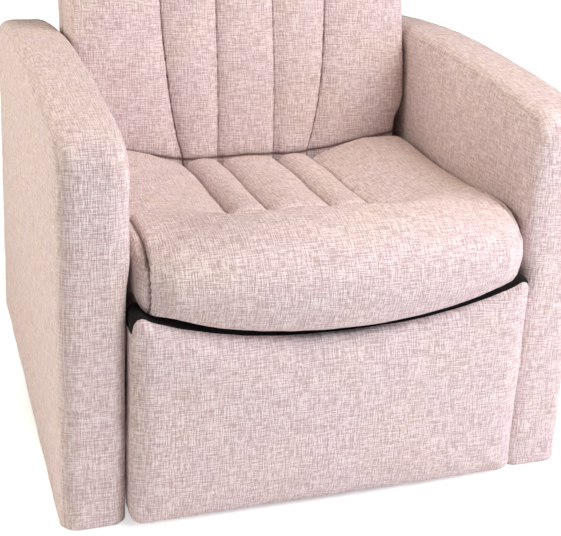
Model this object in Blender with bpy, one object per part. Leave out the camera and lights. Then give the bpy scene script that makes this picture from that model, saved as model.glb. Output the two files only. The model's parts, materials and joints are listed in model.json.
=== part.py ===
"""Manual push-back recliner with slab arms, channelled seat and back, and a fold-out footrest.

Metres, +Z up. The chair faces -Y and +X is the sitter's left. The origin is on the floor,
in the middle of the chair's width and depth.
"""
import math

import bmesh
import bpy
from mathutils import Matrix, Vector

for leftover in list(bpy.data.objects):
    bpy.data.objects.remove(leftover, do_unlink=True)

# Overall sizes and clearances
WIDTH = 0.804
DEPTH = 0.870
GLIDE_HEIGHT = 0.012
FIT_GAP = 0.0003
RUNNING_GAP = 0.0003
ROUND_SIDES = 20
SMOOTH_ANGLE = 35.0
CUSHION_SMOOTH_ANGLE = 60.0
FRONT_Y = -DEPTH / 2
REAR_Y = DEPTH / 2

# Upholstered slab arms on plywood frames
ARM_WIDTH = 0.093
ARM_SETBACK = 0.060
ARM_CROWN_Z = 0.611
ARM_CROWN_BACK = 0.390
ARM_FRONT_DROP = 0.020
ARM_REAR_DROP = 0.038
ARM_NOSE_LENGTH = 0.050
ARM_NOSE_DROP = 0.046
ARM_TAIL_RADIUS = 0.030
ARM_EDGE_RADIUS = 0.022
ARM_SIDE_PAD = 0.026
ARM_END_PAD = 0.034
ARM_TOP_PAD = 0.062
ARM_FRAME_BAR = 0.060
GLIDE_RADIUS = 0.016
GLIDE_FOOT_RADIUS = 0.0144
GLIDE_INSET = 0.055
ARM_INNER_X = WIDTH / 2 - ARM_WIDTH
ARM_FRONT_Y = FRONT_Y + ARM_SETBACK

# Footrest panel below the seat's front roll
PANEL_SETBACK = 0.036
PANEL_THICKNESS = 0.056
PANEL_SIDE_GAP = 0.006
PANEL_BOTTOM_Z = 0.012
PANEL_TOP_MIDDLE_Z = 0.287
PANEL_TOP_SIDE_RISE = 0.056
PANEL_SCOOP_POWER = 2.5
PANEL_CORNER = 0.016
PANEL_EDGE_RADIUS = 0.016
PANEL_CROWN = 0.005
PANEL_CROWN_RINGS = (0.3, 0.7)
BOARD_THICKNESS = 0.018
BOARD_MARGIN = 0.026
BOARD_BEVEL = 0.001
PANEL_HALF = ARM_INNER_X - PANEL_SIDE_GAP
PANEL_FRONT_Y = FRONT_Y + PANEL_SETBACK
PANEL_REAR_Y = PANEL_FRONT_Y + PANEL_THICKNESS

# Seat cushion
SEAT_SIDE_GAP = 0.011
SEAT_LENGTH = 0.552
SEAT_BASE_Z = 0.2965
SEAT_NOSE_Z = 0.388
SEAT_CREST_Z = 0.453
SEAT_CREST_DROP = 0.012
SEAT_CREST_BACK = 0.085
SEAT_LIP_BACK = 0.034
SEAT_LIP_GAP = 0.012
SEAT_STEP_GAP = 0.012
SEAT_BOW = 0.022
SEAT_CORNER_START = 0.245
SEAT_CORNER_DEPTH = 0.034
SEAT_SEAM_BACK = 0.250
SEAT_SEAM_Z = 0.400
SEAT_REAR_Z = 0.378
SEAT_SIDE_RISE = 0.030
SEAT_SIDE_RAMP = 0.100
SEAT_EDGE_RADIUS = 0.016
SEAT_WING_STATIONS = (0.35, 0.60, 0.82, 1.0)
SEAT_HALF = ARM_INNER_X - SEAT_SIDE_GAP
SEAT_REAR_Y = FRONT_Y + SEAT_LENGTH

# Channel stitching shared by the seat and the back
INNER_SEAM_X = 0.052
OUTER_SEAM_X = 0.117
SEAM_HALF = 0.012
SEAM_DEPTH = 0.007
CHANNEL_CROWN = 0.007

# Back, drawn upright about its hinge and then leaned
BACK_LEAN = math.radians(9.0)
BACK_HINGE_BEHIND_SEAT = 0.078
BACK_HINGE_Z = 0.335
BACK_SIDE_GAP = 0.006
BACK_FRONT = -0.074
BACK_CUSHION_THICKNESS = 0.124
BACK_BOTTOM = 0.034
BACK_TUCK = -0.030
BACK_TUCK_DEPTH = 0.048
BACK_TUCK_IN = 0.014
BACK_TUCK_RISE = 0.060
BACK_TOP = 0.690
BACK_HEAD_BULGE = 0.009
BACK_HEAD_FROM = 0.450
BACK_SHOULDER_DROP = 0.045
BACK_SHOULDER_WIDTH = 0.085
BACK_EDGE_RADIUS = 0.026
BACK_TOP_ROLL = 0.062
BACK_SEAM_FLARE = 0.038
BACK_SEAM_FLARE_HEIGHT = 0.130
BACK_SEAM_TOP = 0.500
BACK_WING_BULGE = 0.008
BACK_LUMBAR_BULGE = 0.012
BACK_LUMBAR_HEIGHT = 0.170
BACK_LUMBAR_SPREAD = 0.110
BACK_HEAD_ROLL = 0.018
BACK_HEAD_HEIGHT = 0.585
BACK_HEAD_SPREAD = 0.060
BACK_SEAM_STATION = 0.20
BACK_WING_STATIONS = (0.09, 0.35, 0.65, 1.0)
BACK_SHELL_DEPTH = 0.062
BACK_SHELL_WALL = 0.016
BACK_SHELL_EDGE = 0.026
TIMBER_BEVEL = 0.002
POST_WIDTH = 0.030
POST_DEPTH = 0.028
POST_TOP_GAP = 0.020
BACK_RAIL_HEIGHT = 0.050
BACK_RAIL_COUNT = 3
BACK_RAIL_LOW = 0.050
BACK_RAIL_TOP_MARGIN = 0.015
STRAP_WIDTH = 0.048
STRAP_THICKNESS = 0.0022
STRAP_COUNT = 3
BACK_BRACKET_REACH = 0.200
BACK_HALF = ARM_INNER_X - BACK_SIDE_GAP
BACK_REAR = BACK_FRONT + BACK_CUSHION_THICKNESS
BACK_HINGE_Y = SEAT_REAR_Y + BACK_HINGE_BEHIND_SEAT

# Steel linkage: flat bars stacked in layers from the arm inwards
BAR_THICKNESS = 0.003
LAYER_GAP = 0.002
RAIL_STANDOFF = 0.009
BAR_HALF_WIDTH = 0.010
PIN_RADIUS = 0.004
SPACER_RADIUS = 0.006
HEAD_RADIUS = 0.0068
HEAD_HEIGHT = 0.0014
OPEN_PIVOT_GAP = 0.0004
DRIVE_TUBE_RADIUS = 0.009
CROSS_TUBE_RADIUS = 0.011
RAIL_LAYER, SWING_LAYER, SEAT_LAYER, FRONT_LAYER, MIDDLE_LAYER, INNER_LAYER = range(6)

# Seat frame
SEAT_RAIL_THICKNESS = 0.025
SEAT_RAIL_TOP_Z = 0.292
SEAT_RAIL_BOTTOM_Z = 0.252
SEAT_RAIL_SIDE_GAP = 0.010
SEAT_RAIL_BEHIND_STEP = 0.008
SEAT_RAIL_REAR_GAP = 0.002
SPRING_WIRE = 0.0036
SPRING_COUNT = 4
SPRING_SIDE_MARGIN = 0.060
SPRING_SWING = 0.020
SPRING_LOOPS = 9

# Side plates, swing links and base rails
PLATE_BOTTOM_Z = 0.160
PLATE_FRONT_MARGIN = 0.016
PLATE_FLANGE_FROM_PANEL = 0.085
PLATE_LUG = 0.016
PLATE_SLOT_LENGTH = 0.046
PLATE_SLOT_RADIUS = 0.013
SWING_LENGTH = 0.130
SWING_LEAN = math.radians(20.0)
SWING_FOOT_Z = 0.056
SWING_FRONT_FROM_PANEL = 0.200
SWING_SPACING = 0.220
BASE_RAIL_BOTTOM_Z = 0.030
BASE_RAIL_TOP_Z = 0.090
BASE_RAIL_FLANGE = 0.036
BASE_RAIL_OVERHANG = 0.060
BOLT_RADIUS = 0.006
BOLT_HEAD = 0.003
CROSS_TUBE_Z = 0.046
APRON_THICKNESS = 0.020
APRON_INSET = 0.016
APRON_BEVEL = 0.005
APRON_BOTTOM_Z = 0.050
APRON_TOP_Z = 0.340

# Footrest linkage in the folded position: each pivot's distance behind the panel and its height
FRONT_PIVOT_BACK = 0.0652
FRONT_PIVOT_Z = 0.2236
REAR_PIVOT_BACK = 0.1747
REAR_PIVOT_Z = 0.2284
CROSS_PIVOT_BACK = 0.1434
CROSS_PIVOT_Z = 0.1063
UPPER_PIVOT_BACK = 0.1527
UPPER_PIVOT_Z = 0.0556
OPEN_REAR_PIVOT_BACK = 0.2435
OPEN_REAR_PIVOT_Z = 0.0959
BOARD_PIVOT_BACK = 0.0429
BOARD_PIVOT_Z = 0.2509
OPEN_BOARD_PIVOT_BACK = 0.0262
OPEN_BOARD_PIVOT_Z = 0.1898
DRIVE_TUBE_REACH = 0.036
DRIVE_TUBE_ANGLE = math.radians(-50.0)
BRACKET_FLANGE_WIDTH = 0.030
BRACKET_FOOT = 0.020


def behind_panel(distance, height):
    """A pivot's (y, z), measured back from the footrest panel's rear face."""
    return (PANEL_REAR_Y + distance, height)


PIVOT_FRONT = behind_panel(FRONT_PIVOT_BACK, FRONT_PIVOT_Z)
PIVOT_REAR = behind_panel(REAR_PIVOT_BACK, REAR_PIVOT_Z)
PIVOT_CROSS = behind_panel(CROSS_PIVOT_BACK, CROSS_PIVOT_Z)
PIVOT_UPPER = behind_panel(UPPER_PIVOT_BACK, UPPER_PIVOT_Z)
PIVOT_OPEN_REAR = behind_panel(OPEN_REAR_PIVOT_BACK, OPEN_REAR_PIVOT_Z)
PIVOT_BOARD = behind_panel(BOARD_PIVOT_BACK, BOARD_PIVOT_Z)
PIVOT_OPEN_BOARD = behind_panel(OPEN_BOARD_PIVOT_BACK, OPEN_BOARD_PIVOT_Z)

STEEL = ("zinc_steel", (0.42, 0.43, 0.45), 0.38, 0.9)
DARK_STEEL = ("black_steel", (0.045, 0.045, 0.048), 0.45, 0.6)
SPRING_STEEL = ("spring_steel", (0.20, 0.21, 0.23), 0.35, 0.9)
WOOD = ("plywood", (0.50, 0.35, 0.20), 0.65, 0.0)
FABRIC = ("mushroom_weave", (0.48, 0.38, 0.33), 0.9, 0.0)
STRAPPING = ("elastic_webbing", (0.09, 0.09, 0.10), 0.85, 0.0)
GLIDE_PLASTIC = ("black_plastic", (0.02, 0.02, 0.02), 0.5, 0.0)


def clamp01(value):
    """Limit a value to the range 0 to 1."""
    return max(0.0, min(1.0, value))


def ease(value):
    """Smooth step from 0 to 1."""
    t = clamp01(value)
    return t * t * (3 - 2 * t)


def bump(offset, spread):
    """Bell-shaped bulge of height 1."""
    return math.exp(-(offset / spread) ** 2)


def layer(index):
    """Inner and outer |x| of one layer of the steel linkage."""
    outer = ARM_INNER_X - RAIL_STANDOFF - index * (BAR_THICKNESS + LAYER_GAP)
    return outer - BAR_THICKNESS, outer


def make_material(finish):
    """Principled material from a named finish, made once."""
    name, colour, roughness, metallic = finish
    found = bpy.data.materials.get(name)
    if found:
        return found
    made = bpy.data.materials.new(name)
    made.use_nodes = True
    shader = made.node_tree.nodes["Principled BSDF"]
    shader.inputs["Base Color"].default_value = (*colour, 1.0)
    shader.inputs["Roughness"].default_value = roughness
    shader.inputs["Metallic"].default_value = metallic
    return made


def link_object(name, data):
    """Add an object for a mesh or curve to the scene."""
    made = bpy.data.objects.new(name, data)
    bpy.context.scene.collection.objects.link(made)
    return made


def finish_object(name, shape, finish, origin=(0.0, 0.0, 0.0), parent=None, smooth_angle=SMOOTH_ANGLE):
    """Turn a bmesh into a named object whose origin lies at the given point."""
    bmesh.ops.recalc_face_normals(shape, faces=shape.faces)
    shape.transform(Matrix.Translation(-Vector(origin)))
    mesh = bpy.data.meshes.new(name)
    shape.to_mesh(mesh)
    shape.free()
    mesh.materials.append(make_material(finish))
    mesh.shade_smooth()
    mesh.set_sharp_from_angle(angle=math.radians(smooth_angle))
    made = link_object(name, mesh)
    made.location = origin
    made.parent = parent
    return made


def evaluated_shape(source):
    """The bmesh of an object with its modifiers, after which the object is removed."""
    graph = bpy.context.evaluated_depsgraph_get()
    mesh = bpy.data.meshes.new_from_object(source.evaluated_get(graph))
    shape = bmesh.new()
    shape.from_mesh(mesh)
    bpy.data.objects.remove(source, do_unlink=True)
    bpy.data.meshes.remove(mesh)
    return shape


def combine(base, tool, operation):
    """Unite two closed shapes, or cut the tool from the base."""
    pair = []
    for shape in (base, tool):
        bmesh.ops.recalc_face_normals(shape, faces=shape.faces)
        mesh = bpy.data.meshes.new("operand")
        shape.to_mesh(mesh)
        shape.free()
        pair.append(link_object("operand", mesh))
    modifier = pair[0].modifiers.new("join", "BOOLEAN")
    modifier.operation = operation
    modifier.solver = "EXACT"
    modifier.object = pair[1]
    result = evaluated_shape(pair[0])
    bpy.data.objects.remove(pair[1], do_unlink=True)
    return result


def mirrored(shape):
    """The same shape on the other side of the chair."""
    shape.transform(Matrix.Diagonal((-1.0, 1.0, 1.0, 1.0)))
    bmesh.ops.reverse_faces(shape, faces=shape.faces)
    return shape


def finish_pair(name, make_shape, finish, origin=(0.0, 0.0, 0.0), parent=None):
    """Make the left piece and its mirror image as two objects."""
    x, y, z = origin
    finish_object(name + "_left", make_shape(), finish, (x, y, z), parent)
    finish_object(name + "_right", mirrored(make_shape()), finish, (-x, y, z), parent)


def box(low, high, bevel=0.0):
    """Closed box between two corners, with chamfered edges if asked."""
    shape = bmesh.new()
    bmesh.ops.create_cube(shape, size=1.0)
    size = Vector(high) - Vector(low)
    middle = (Vector(high) + Vector(low)) / 2
    shape.transform(Matrix.Translation(middle) @ Matrix.Diagonal((*size, 1.0)))
    if bevel:
        bmesh.ops.bevel(shape, geom=list(shape.edges), offset=bevel, segments=1, affect="EDGES")
    return shape


def rod(centre, radius, x_from, x_to, sides=16):
    """Closed cylinder along X through a (y, z) point."""
    shape = bmesh.new()
    length = abs(x_to - x_from)
    place = Matrix.Translation(((x_from + x_to) / 2, centre[0], centre[1]))
    turn = Matrix.Rotation(math.pi / 2, 4, "Y")
    bmesh.ops.create_cone(
        shape,
        cap_ends=True,
        segments=sides,
        radius1=radius,
        radius2=radius,
        depth=length,
        matrix=place @ turn,
    )
    return shape


def arc(centre, radius, start, stop, steps):
    """Points on a circle from one angle to another, ends included."""
    points = []
    for step in range(steps + 1):
        angle = start + (stop - start) * step / steps
        points.append((centre[0] + radius * math.cos(angle), centre[1] + radius * math.sin(angle)))
    return points


def circle(centre, radius, sides=16):
    """Closed ring of points."""
    return arc(centre, radius, 0.0, math.tau, sides)[:-1]


def strip_outline(path, half_width, cap_steps=6):
    """Outline of a flat bar with round ends that follows a path of points."""
    points = [Vector(p) for p in path]
    sides = []
    for start, stop in zip(points, points[1:]):
        along = (stop - start).normalized()
        sides.append(Vector((-along.y, along.x)))
    left = []
    right = []
    for corner, before, after in zip(points[1:-1], sides, sides[1:]):
        mitre = (before + after) / (1 + before.dot(after)) * half_width
        left.append(tuple(corner + mitre))
        right.append(tuple(corner - mitre))
    first = math.atan2(sides[0].y, sides[0].x)
    last = math.atan2(sides[-1].y, sides[-1].x)
    end_cap = arc(points[-1], half_width, last, last - math.pi, cap_steps)
    start_cap = arc(points[0], half_width, first + math.pi, first, cap_steps)
    return left + end_cap + right[::-1] + start_cap


def hull_outline(centres, radius, corners=()):
    """Convex outline round several pivots and any further corners."""
    cloud = sorted(set(p for c in centres for p in circle(c, radius)) | set(corners))

    def half(points):
        chain = []
        for p in points:
            while len(chain) > 1 and turn(chain[-2], chain[-1], p) <= 0:
                chain.pop()
            chain.append(p)
        return chain[:-1]

    def turn(a, b, c):
        return (b[0] - a[0]) * (c[1] - a[1]) - (b[1] - a[1]) * (c[0] - a[0])

    return half(cloud) + half(cloud[::-1])


def plate(outline, hole_centres, x_low, x_high, slots=()):
    """Flat plate in the YZ plane with pivot holes and any lightening slots through it."""
    curve = bpy.data.curves.new("plate", "CURVE")
    curve.dimensions = "2D"
    curve.fill_mode = "BOTH"
    curve.extrude = (x_high - x_low) / 2
    loops = [outline, *slots] + [circle(c, PIN_RADIUS + RUNNING_GAP) for c in hole_centres]
    for loop in loops:
        spline = curve.splines.new("POLY")
        spline.points.add(len(loop) - 1)
        spline.use_cyclic_u = True
        for point, (y, z) in zip(spline.points, loop):
            point.co = (y, z, 0.0, 1.0)
    shape = evaluated_shape(link_object("plate", curve))
    bpy.data.curves.remove(curve)
    bmesh.ops.remove_doubles(shape, verts=shape.verts, dist=FIT_GAP / 10)
    middle = (x_low + x_high) / 2
    to_side = Matrix(((0, 0, 1, middle), (1, 0, 0, 0), (0, 1, 0, 0), (0, 0, 0, 1)))
    shape.transform(to_side)
    return shape


def add_pin(shape, centre, from_layer, to_layer, spacer=False):
    """Unite a riveted pin that starts in one layer, runs through another and ends in a head."""
    from_low, from_high = layer(from_layer)
    to_low, to_high = layer(to_layer)
    inwards = to_layer > from_layer
    root = (from_low + from_high) / 2
    head_from = to_low - RUNNING_GAP if inwards else to_high + RUNNING_GAP
    head_to = head_from - HEAD_HEIGHT if inwards else head_from + HEAD_HEIGHT
    shape = combine(shape, rod(centre, PIN_RADIUS, root, (head_from + head_to) / 2), "UNION")
    if spacer:
        shape = combine(shape, rod(centre, SPACER_RADIUS, root, to_high + RUNNING_GAP), "UNION")
    return combine(shape, rod(centre, HEAD_RADIUS, head_from, head_to), "UNION")


def add_stub(shape, centre, own_layer, facing_layer):
    """Unite the short stub of an open pivot, which stops just clear of the facing bar."""
    low, high = layer(own_layer)
    stop = layer(facing_layer)[0] - OPEN_PIVOT_GAP
    return combine(shape, rod(centre, HEAD_RADIUS, (low + high) / 2, stop), "UNION")


def add_head(shape, centre, own_layer):
    """Unite a rivet head on a bar's outer face."""
    low, high = layer(own_layer)
    return combine(shape, rod(centre, HEAD_RADIUS, (low + high) / 2, high + HEAD_HEIGHT), "UNION")


def bridge_rings(rings):
    """Closed shape through rings of equal point counts, capped at both ends."""
    shape = bmesh.new()
    grid = [[shape.verts.new(p) for p in ring] for ring in rings]
    count = len(grid[0])
    for lower, upper in zip(grid, grid[1:]):
        for i in range(count):
            j = (i + 1) % count
            shape.faces.new((lower[i], lower[j], upper[j], upper[i]))
    shape.faces.new(grid[0][::-1])
    shape.faces.new(grid[-1])
    return shape


def inset_loop(loop, distance, floor=None):
    """Move a closed counter-clockwise loop inwards, but keep points on the floor line at their height."""
    moved = []
    count = len(loop)
    for i, here in enumerate(loop):
        before = Vector(loop[i - 1])
        after = Vector(loop[(i + 1) % count])
        along = (after - before).normalized()
        inward = Vector((-along.y, along.x))
        if floor is not None and here[1] <= floor + FIT_GAP:
            inward = Vector((math.copysign(1.0, inward.x), 0.0))
        moved.append((here[0] + inward.x * distance, here[1] + inward.y * distance))
    return moved


def edge_profile(radius, steps):
    """(depth from the face, inset) pairs of a quarter-round edge, from the face outwards."""
    pairs = []
    for step in range(steps + 1):
        angle = math.pi / 2 * (1 - step / steps)
        pairs.append((radius * (1 - math.sin(angle)), radius * (1 - math.cos(angle))))
    return pairs


def arm_top(y):
    """Height of the arm's crowned top."""
    crown_y = ARM_FRONT_Y + ARM_CROWN_BACK
    if y < crown_y:
        return ARM_CROWN_Z - ARM_FRONT_DROP * ((crown_y - y) / ARM_CROWN_BACK) ** 2
    return ARM_CROWN_Z - ARM_REAR_DROP * ((y - crown_y) / (REAR_Y - crown_y)) ** 2


def arm_outline():
    """Side view of the arm, counter-clockwise in (y, z) from its front bottom corner."""
    bottom = GLIDE_HEIGHT
    nose_y = ARM_FRONT_Y + ARM_NOSE_LENGTH
    tail_y = REAR_Y - ARM_TAIL_RADIUS
    points = [(ARM_FRONT_Y, bottom), (REAR_Y, bottom)]
    points += arc((tail_y, arm_top(tail_y) - ARM_TAIL_RADIUS), ARM_TAIL_RADIUS, 0.0, math.pi / 2, 4)
    top_steps = 6
    for step in range(1, top_steps):
        y = tail_y + (nose_y - tail_y) * step / top_steps
        points.append((y, arm_top(y)))
    nose_z = arm_top(nose_y) - ARM_NOSE_DROP
    for y, z in arc((0.0, 0.0), 1.0, math.pi / 2, math.pi, 5):
        points.append((nose_y + y * ARM_NOSE_LENGTH, nose_z + z * ARM_NOSE_DROP))
    return points


def arm_cover():
    """Padded arm, hollow below for its frame."""
    outline = arm_outline()
    x_outer = WIDTH / 2
    profile = edge_profile(ARM_EDGE_RADIUS, 3)
    rings = []
    for depth, inset in profile:
        rings.append([(x_outer - depth, y, z) for y, z in inset_loop(outline, inset, GLIDE_HEIGHT)])
    for depth, inset in reversed(profile):
        rings.append([(ARM_INNER_X + depth, y, z) for y, z in inset_loop(outline, inset, GLIDE_HEIGHT)])
    low, high = arm_hollow()
    return combine(bridge_rings(rings), box((low[0], low[1], low[2] - GLIDE_HEIGHT), high), "DIFFERENCE")


def arm_hollow():
    """Corners of the space for the arm's frame inside the padding."""
    low = (ARM_INNER_X + ARM_SIDE_PAD, ARM_FRONT_Y + ARM_END_PAD, GLIDE_HEIGHT)
    high = (WIDTH / 2 - ARM_SIDE_PAD, REAR_Y - ARM_END_PAD, ARM_CROWN_Z - ARM_TOP_PAD)
    return low, high


def arm_frame():
    """Plywood arm frame with two open bays."""
    low, high = (Vector(corner) for corner in arm_hollow())
    low += Vector((FIT_GAP, FIT_GAP, 0.0))
    high -= Vector((FIT_GAP, FIT_GAP, FIT_GAP))
    shape = box(low, high)
    middle = (low.y + high.y) / 2
    half_bar = ARM_FRAME_BAR / 2
    front_bay = (low.y + ARM_FRAME_BAR, middle - half_bar)
    rear_bay = (middle + half_bar, high.y - ARM_FRAME_BAR)
    for start, stop in (front_bay, rear_bay):
        cut_low = (low.x - ARM_SIDE_PAD / 2, start, low.z + ARM_FRAME_BAR)
        cut_high = (high.x + ARM_SIDE_PAD / 2, stop, high.z - ARM_FRAME_BAR)
        shape = combine(shape, box(cut_low, cut_high), "DIFFERENCE")
    return shape


def glide():
    """Short round glide that the arm frame stands on."""
    shape = bmesh.new()
    height = GLIDE_HEIGHT - FIT_GAP
    bmesh.ops.create_cone(
        shape,
        cap_ends=True,
        segments=ROUND_SIDES,
        radius1=GLIDE_FOOT_RADIUS,
        radius2=GLIDE_RADIUS,
        depth=height,
    )
    shape.transform(Matrix.Translation((0.0, 0.0, height / 2)))
    return shape


def panel_top(x):
    """Height of the footrest panel's scooped top edge."""
    return PANEL_TOP_MIDDLE_Z + PANEL_TOP_SIDE_RISE * (abs(x) / PANEL_HALF) ** PANEL_SCOOP_POWER


def panel_outline():
    """Front view of the footrest panel, counter-clockwise in (x, z)."""
    edge = PANEL_HALF - PANEL_CORNER
    low = PANEL_BOTTOM_Z + PANEL_CORNER
    points = arc((-edge, low), PANEL_CORNER, math.pi, 1.5 * math.pi, 3)
    points += arc((edge, low), PANEL_CORNER, 1.5 * math.pi, math.tau, 3)
    shoulder = panel_top(edge) - PANEL_CORNER
    points += arc((edge, shoulder), PANEL_CORNER, 0.0, math.pi / 2, 3)
    scoop_steps = 12
    for step in range(1, scoop_steps):
        x = edge - 2 * edge * step / scoop_steps
        points.append((x, panel_top(x)))
    points += arc((-edge, shoulder), PANEL_CORNER, math.pi / 2, math.pi, 3)
    return points


def board_corners():
    """Corners of the plywood board let into the back of the footrest pad."""
    low = (-PANEL_HALF + BOARD_MARGIN, PANEL_REAR_Y - BOARD_THICKNESS, PANEL_BOTTOM_Z + BOARD_MARGIN)
    high = (PANEL_HALF - BOARD_MARGIN, PANEL_REAR_Y, PANEL_TOP_MIDDLE_Z - BOARD_MARGIN)
    return low, high


def footrest_pad():
    """Padded footrest panel with a rounded front edge and a recess behind for its board."""
    outline = panel_outline()
    middle_z = (PANEL_BOTTOM_Z + PANEL_TOP_MIDDLE_Z) / 2
    rings = []
    for share in PANEL_CROWN_RINGS:
        crown_y = PANEL_FRONT_Y - PANEL_CROWN * (1 - share ** 2)
        rings.append([(x * share, crown_y, middle_z + (z - middle_z) * share) for x, z in outline])
    for depth, inset in edge_profile(PANEL_EDGE_RADIUS, 3):
        rings.append([(x, PANEL_FRONT_Y + depth, z) for x, z in inset_loop(outline, inset)])
    rings.append([(x, PANEL_REAR_Y, z) for x, z in outline])
    low, high = board_corners()
    grow = Vector((FIT_GAP, FIT_GAP, FIT_GAP))
    recess = box(Vector(low) - grow, Vector(high) + grow + Vector((0.0, PANEL_THICKNESS, 0.0)))
    return combine(bridge_rings(rings), recess, "DIFFERENCE")


def mirrored_values(values):
    """Positive values with their negatives, in rising order."""
    return sorted({-v for v in values} | set(values))


def channel_relief(x, outer_seam):
    """Height of the stitched channels across the cushion: crowned between seams, sunk at them."""
    across = abs(x)
    relief = 0.0
    edges = (-INNER_SEAM_X, INNER_SEAM_X, outer_seam)
    for start, stop in zip(edges, edges[1:]):
        if start <= across <= stop:
            middle = (start + stop) / 2
            relief = CHANNEL_CROWN * (1 - ((across - middle) / (stop - middle)) ** 2)
    for seam in (INNER_SEAM_X, outer_seam):
        relief -= SEAM_DEPTH * bump(across - seam, SEAM_HALF / 2)
    return relief


def seat_front(x):
    """How far forward the seat's bowed front roll reaches."""
    bow = SEAT_BOW * (x / SEAT_HALF) ** 2
    corner = clamp01((abs(x) - SEAT_CORNER_START) / (SEAT_HALF - SEAT_CORNER_START))
    return FRONT_Y + bow + SEAT_CORNER_DEPTH * corner ** 2


def seat_top(x, y, crest_y):
    """Height of the seat's top: a front roll, a cross seam and a dished, channelled pan."""
    seam_y = FRONT_Y + SEAT_SEAM_BACK
    back = clamp01((y - seam_y) / (SEAT_REAR_Y - seam_y))
    side = SEAT_SIDE_RISE * ease((abs(x) - OUTER_SEAM_X) / SEAT_SIDE_RAMP)
    pan = SEAT_SEAM_Z + (SEAT_REAR_Z - SEAT_SEAM_Z) * back + side
    crest = SEAT_CREST_Z - SEAT_CREST_DROP * (x / SEAT_HALF) ** 2
    forward = clamp01((y - crest_y) / (seam_y - crest_y))
    roll = (crest - pan) * (1 - forward ** 2)
    fade = 1 - ease((abs(x) - OUTER_SEAM_X) / (SEAT_SIDE_RAMP / 2))
    groove = SEAM_DEPTH * fade * bump(y - seam_y, SEAM_HALF / 2)
    channels = channel_relief(x, OUTER_SEAM_X) * ease((y - seam_y) / SEAM_HALF)
    return pan + roll - groove + channels


def seat_section(x):
    """Side view of the seat cushion at one x, counter-clockwise in (y, z)."""
    front = seat_front(x)
    lip_z = panel_top(min(abs(x), PANEL_HALF)) + SEAT_LIP_GAP
    lip_y = front + SEAT_LIP_BACK
    step_y = PANEL_REAR_Y + SEAT_STEP_GAP
    crest_y = front + SEAT_CREST_BACK
    crest_z = seat_top(x, crest_y, crest_y)
    seam_y = FRONT_Y + SEAT_SEAM_BACK
    points = [(step_y, SEAT_BASE_Z), ((step_y + SEAT_REAR_Y) / 2, SEAT_BASE_Z), (SEAT_REAR_Y, SEAT_BASE_Z)]
    rear_top = seat_top(x, SEAT_REAR_Y, crest_y)
    points.append((SEAT_REAR_Y, rear_top - SEAT_EDGE_RADIUS))
    tops = [SEAT_REAR_Y - SEAT_EDGE_RADIUS / 2]
    pan_steps = 4
    pan_start = seam_y + SEAM_HALF
    for step in range(1, pan_steps + 1):
        tops.append(tops[0] + (pan_start - tops[0]) * step / pan_steps)
    tops += [seam_y, seam_y - SEAM_HALF]
    roll_steps = 4
    for step in range(1, roll_steps):
        tops.append(seam_y - SEAM_HALF + (crest_y - seam_y + SEAM_HALF) * step / roll_steps)
    points += [(y, seat_top(x, y, crest_y)) for y in tops]
    for y, z in arc((0.0, 0.0), 1.0, math.pi / 2, math.pi, 4):
        points.append((crest_y + y * (crest_y - front), SEAT_NOSE_Z + z * (crest_z - SEAT_NOSE_Z)))
    for y, z in arc((0.0, 0.0), 1.0, math.pi, 1.5 * math.pi, 3)[1:]:
        points.append((lip_y + y * (lip_y - front), SEAT_NOSE_Z + z * (SEAT_NOSE_Z - lip_z)))
    points.append((step_y - SEAT_STEP_GAP / 2, lip_z))
    return points


def cushion_stations(outer_seam, half, edge_radius):
    """x positions of a channelled cushion's sections, inside its rounded edges."""
    face = half - edge_radius
    values = [0.0, INNER_SEAM_X / 2, (INNER_SEAM_X + outer_seam) / 2]
    for seam in (INNER_SEAM_X, outer_seam):
        values += [seam - SEAM_HALF, seam, seam + SEAM_HALF]
    values += [outer_seam + (face - outer_seam) * share for share in SEAT_WING_STATIONS]
    return mirrored_values(values)


def seat_cushion():
    """Seat cushion with a waterfall front, dished channelled pan and drawn-in sides."""
    stations = cushion_stations(OUTER_SEAM_X, SEAT_HALF, SEAT_EDGE_RADIUS)
    profile = edge_profile(SEAT_EDGE_RADIUS, 3)[:-1]
    rings = []
    for depth, inset in profile:
        x = -SEAT_HALF + depth
        rings.append([(x, y, z) for y, z in inset_loop(seat_section(x), inset)])
    rings += [[(x, y, z) for y, z in seat_section(x)] for x in stations]
    for depth, inset in reversed(profile):
        x = SEAT_HALF - depth
        rings.append([(x, y, z) for y, z in inset_loop(seat_section(x), inset)])
    return bridge_rings(rings)


def back_seam(height):
    """x of the back's outer seam, which flares out as it rises."""
    rise = max(0.0, height - BACK_BOTTOM)
    return OUTER_SEAM_X + BACK_SEAM_FLARE * (1 - math.exp(-rise / BACK_SEAM_FLARE_HEIGHT))


def back_half(height):
    """Half width of the back: straight between the arms, fuller above them."""
    return BACK_HALF + BACK_HEAD_BULGE * ease((height - BACK_HEAD_FROM) / (BACK_TOP - BACK_HEAD_FROM))


def back_top(x):
    """Top of the back, with rounded shoulders."""
    drop = clamp01((abs(x) - BACK_HALF + BACK_SHOULDER_WIDTH) / BACK_SHOULDER_WIDTH)
    return BACK_TOP - BACK_SHOULDER_DROP * drop ** 2


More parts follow.
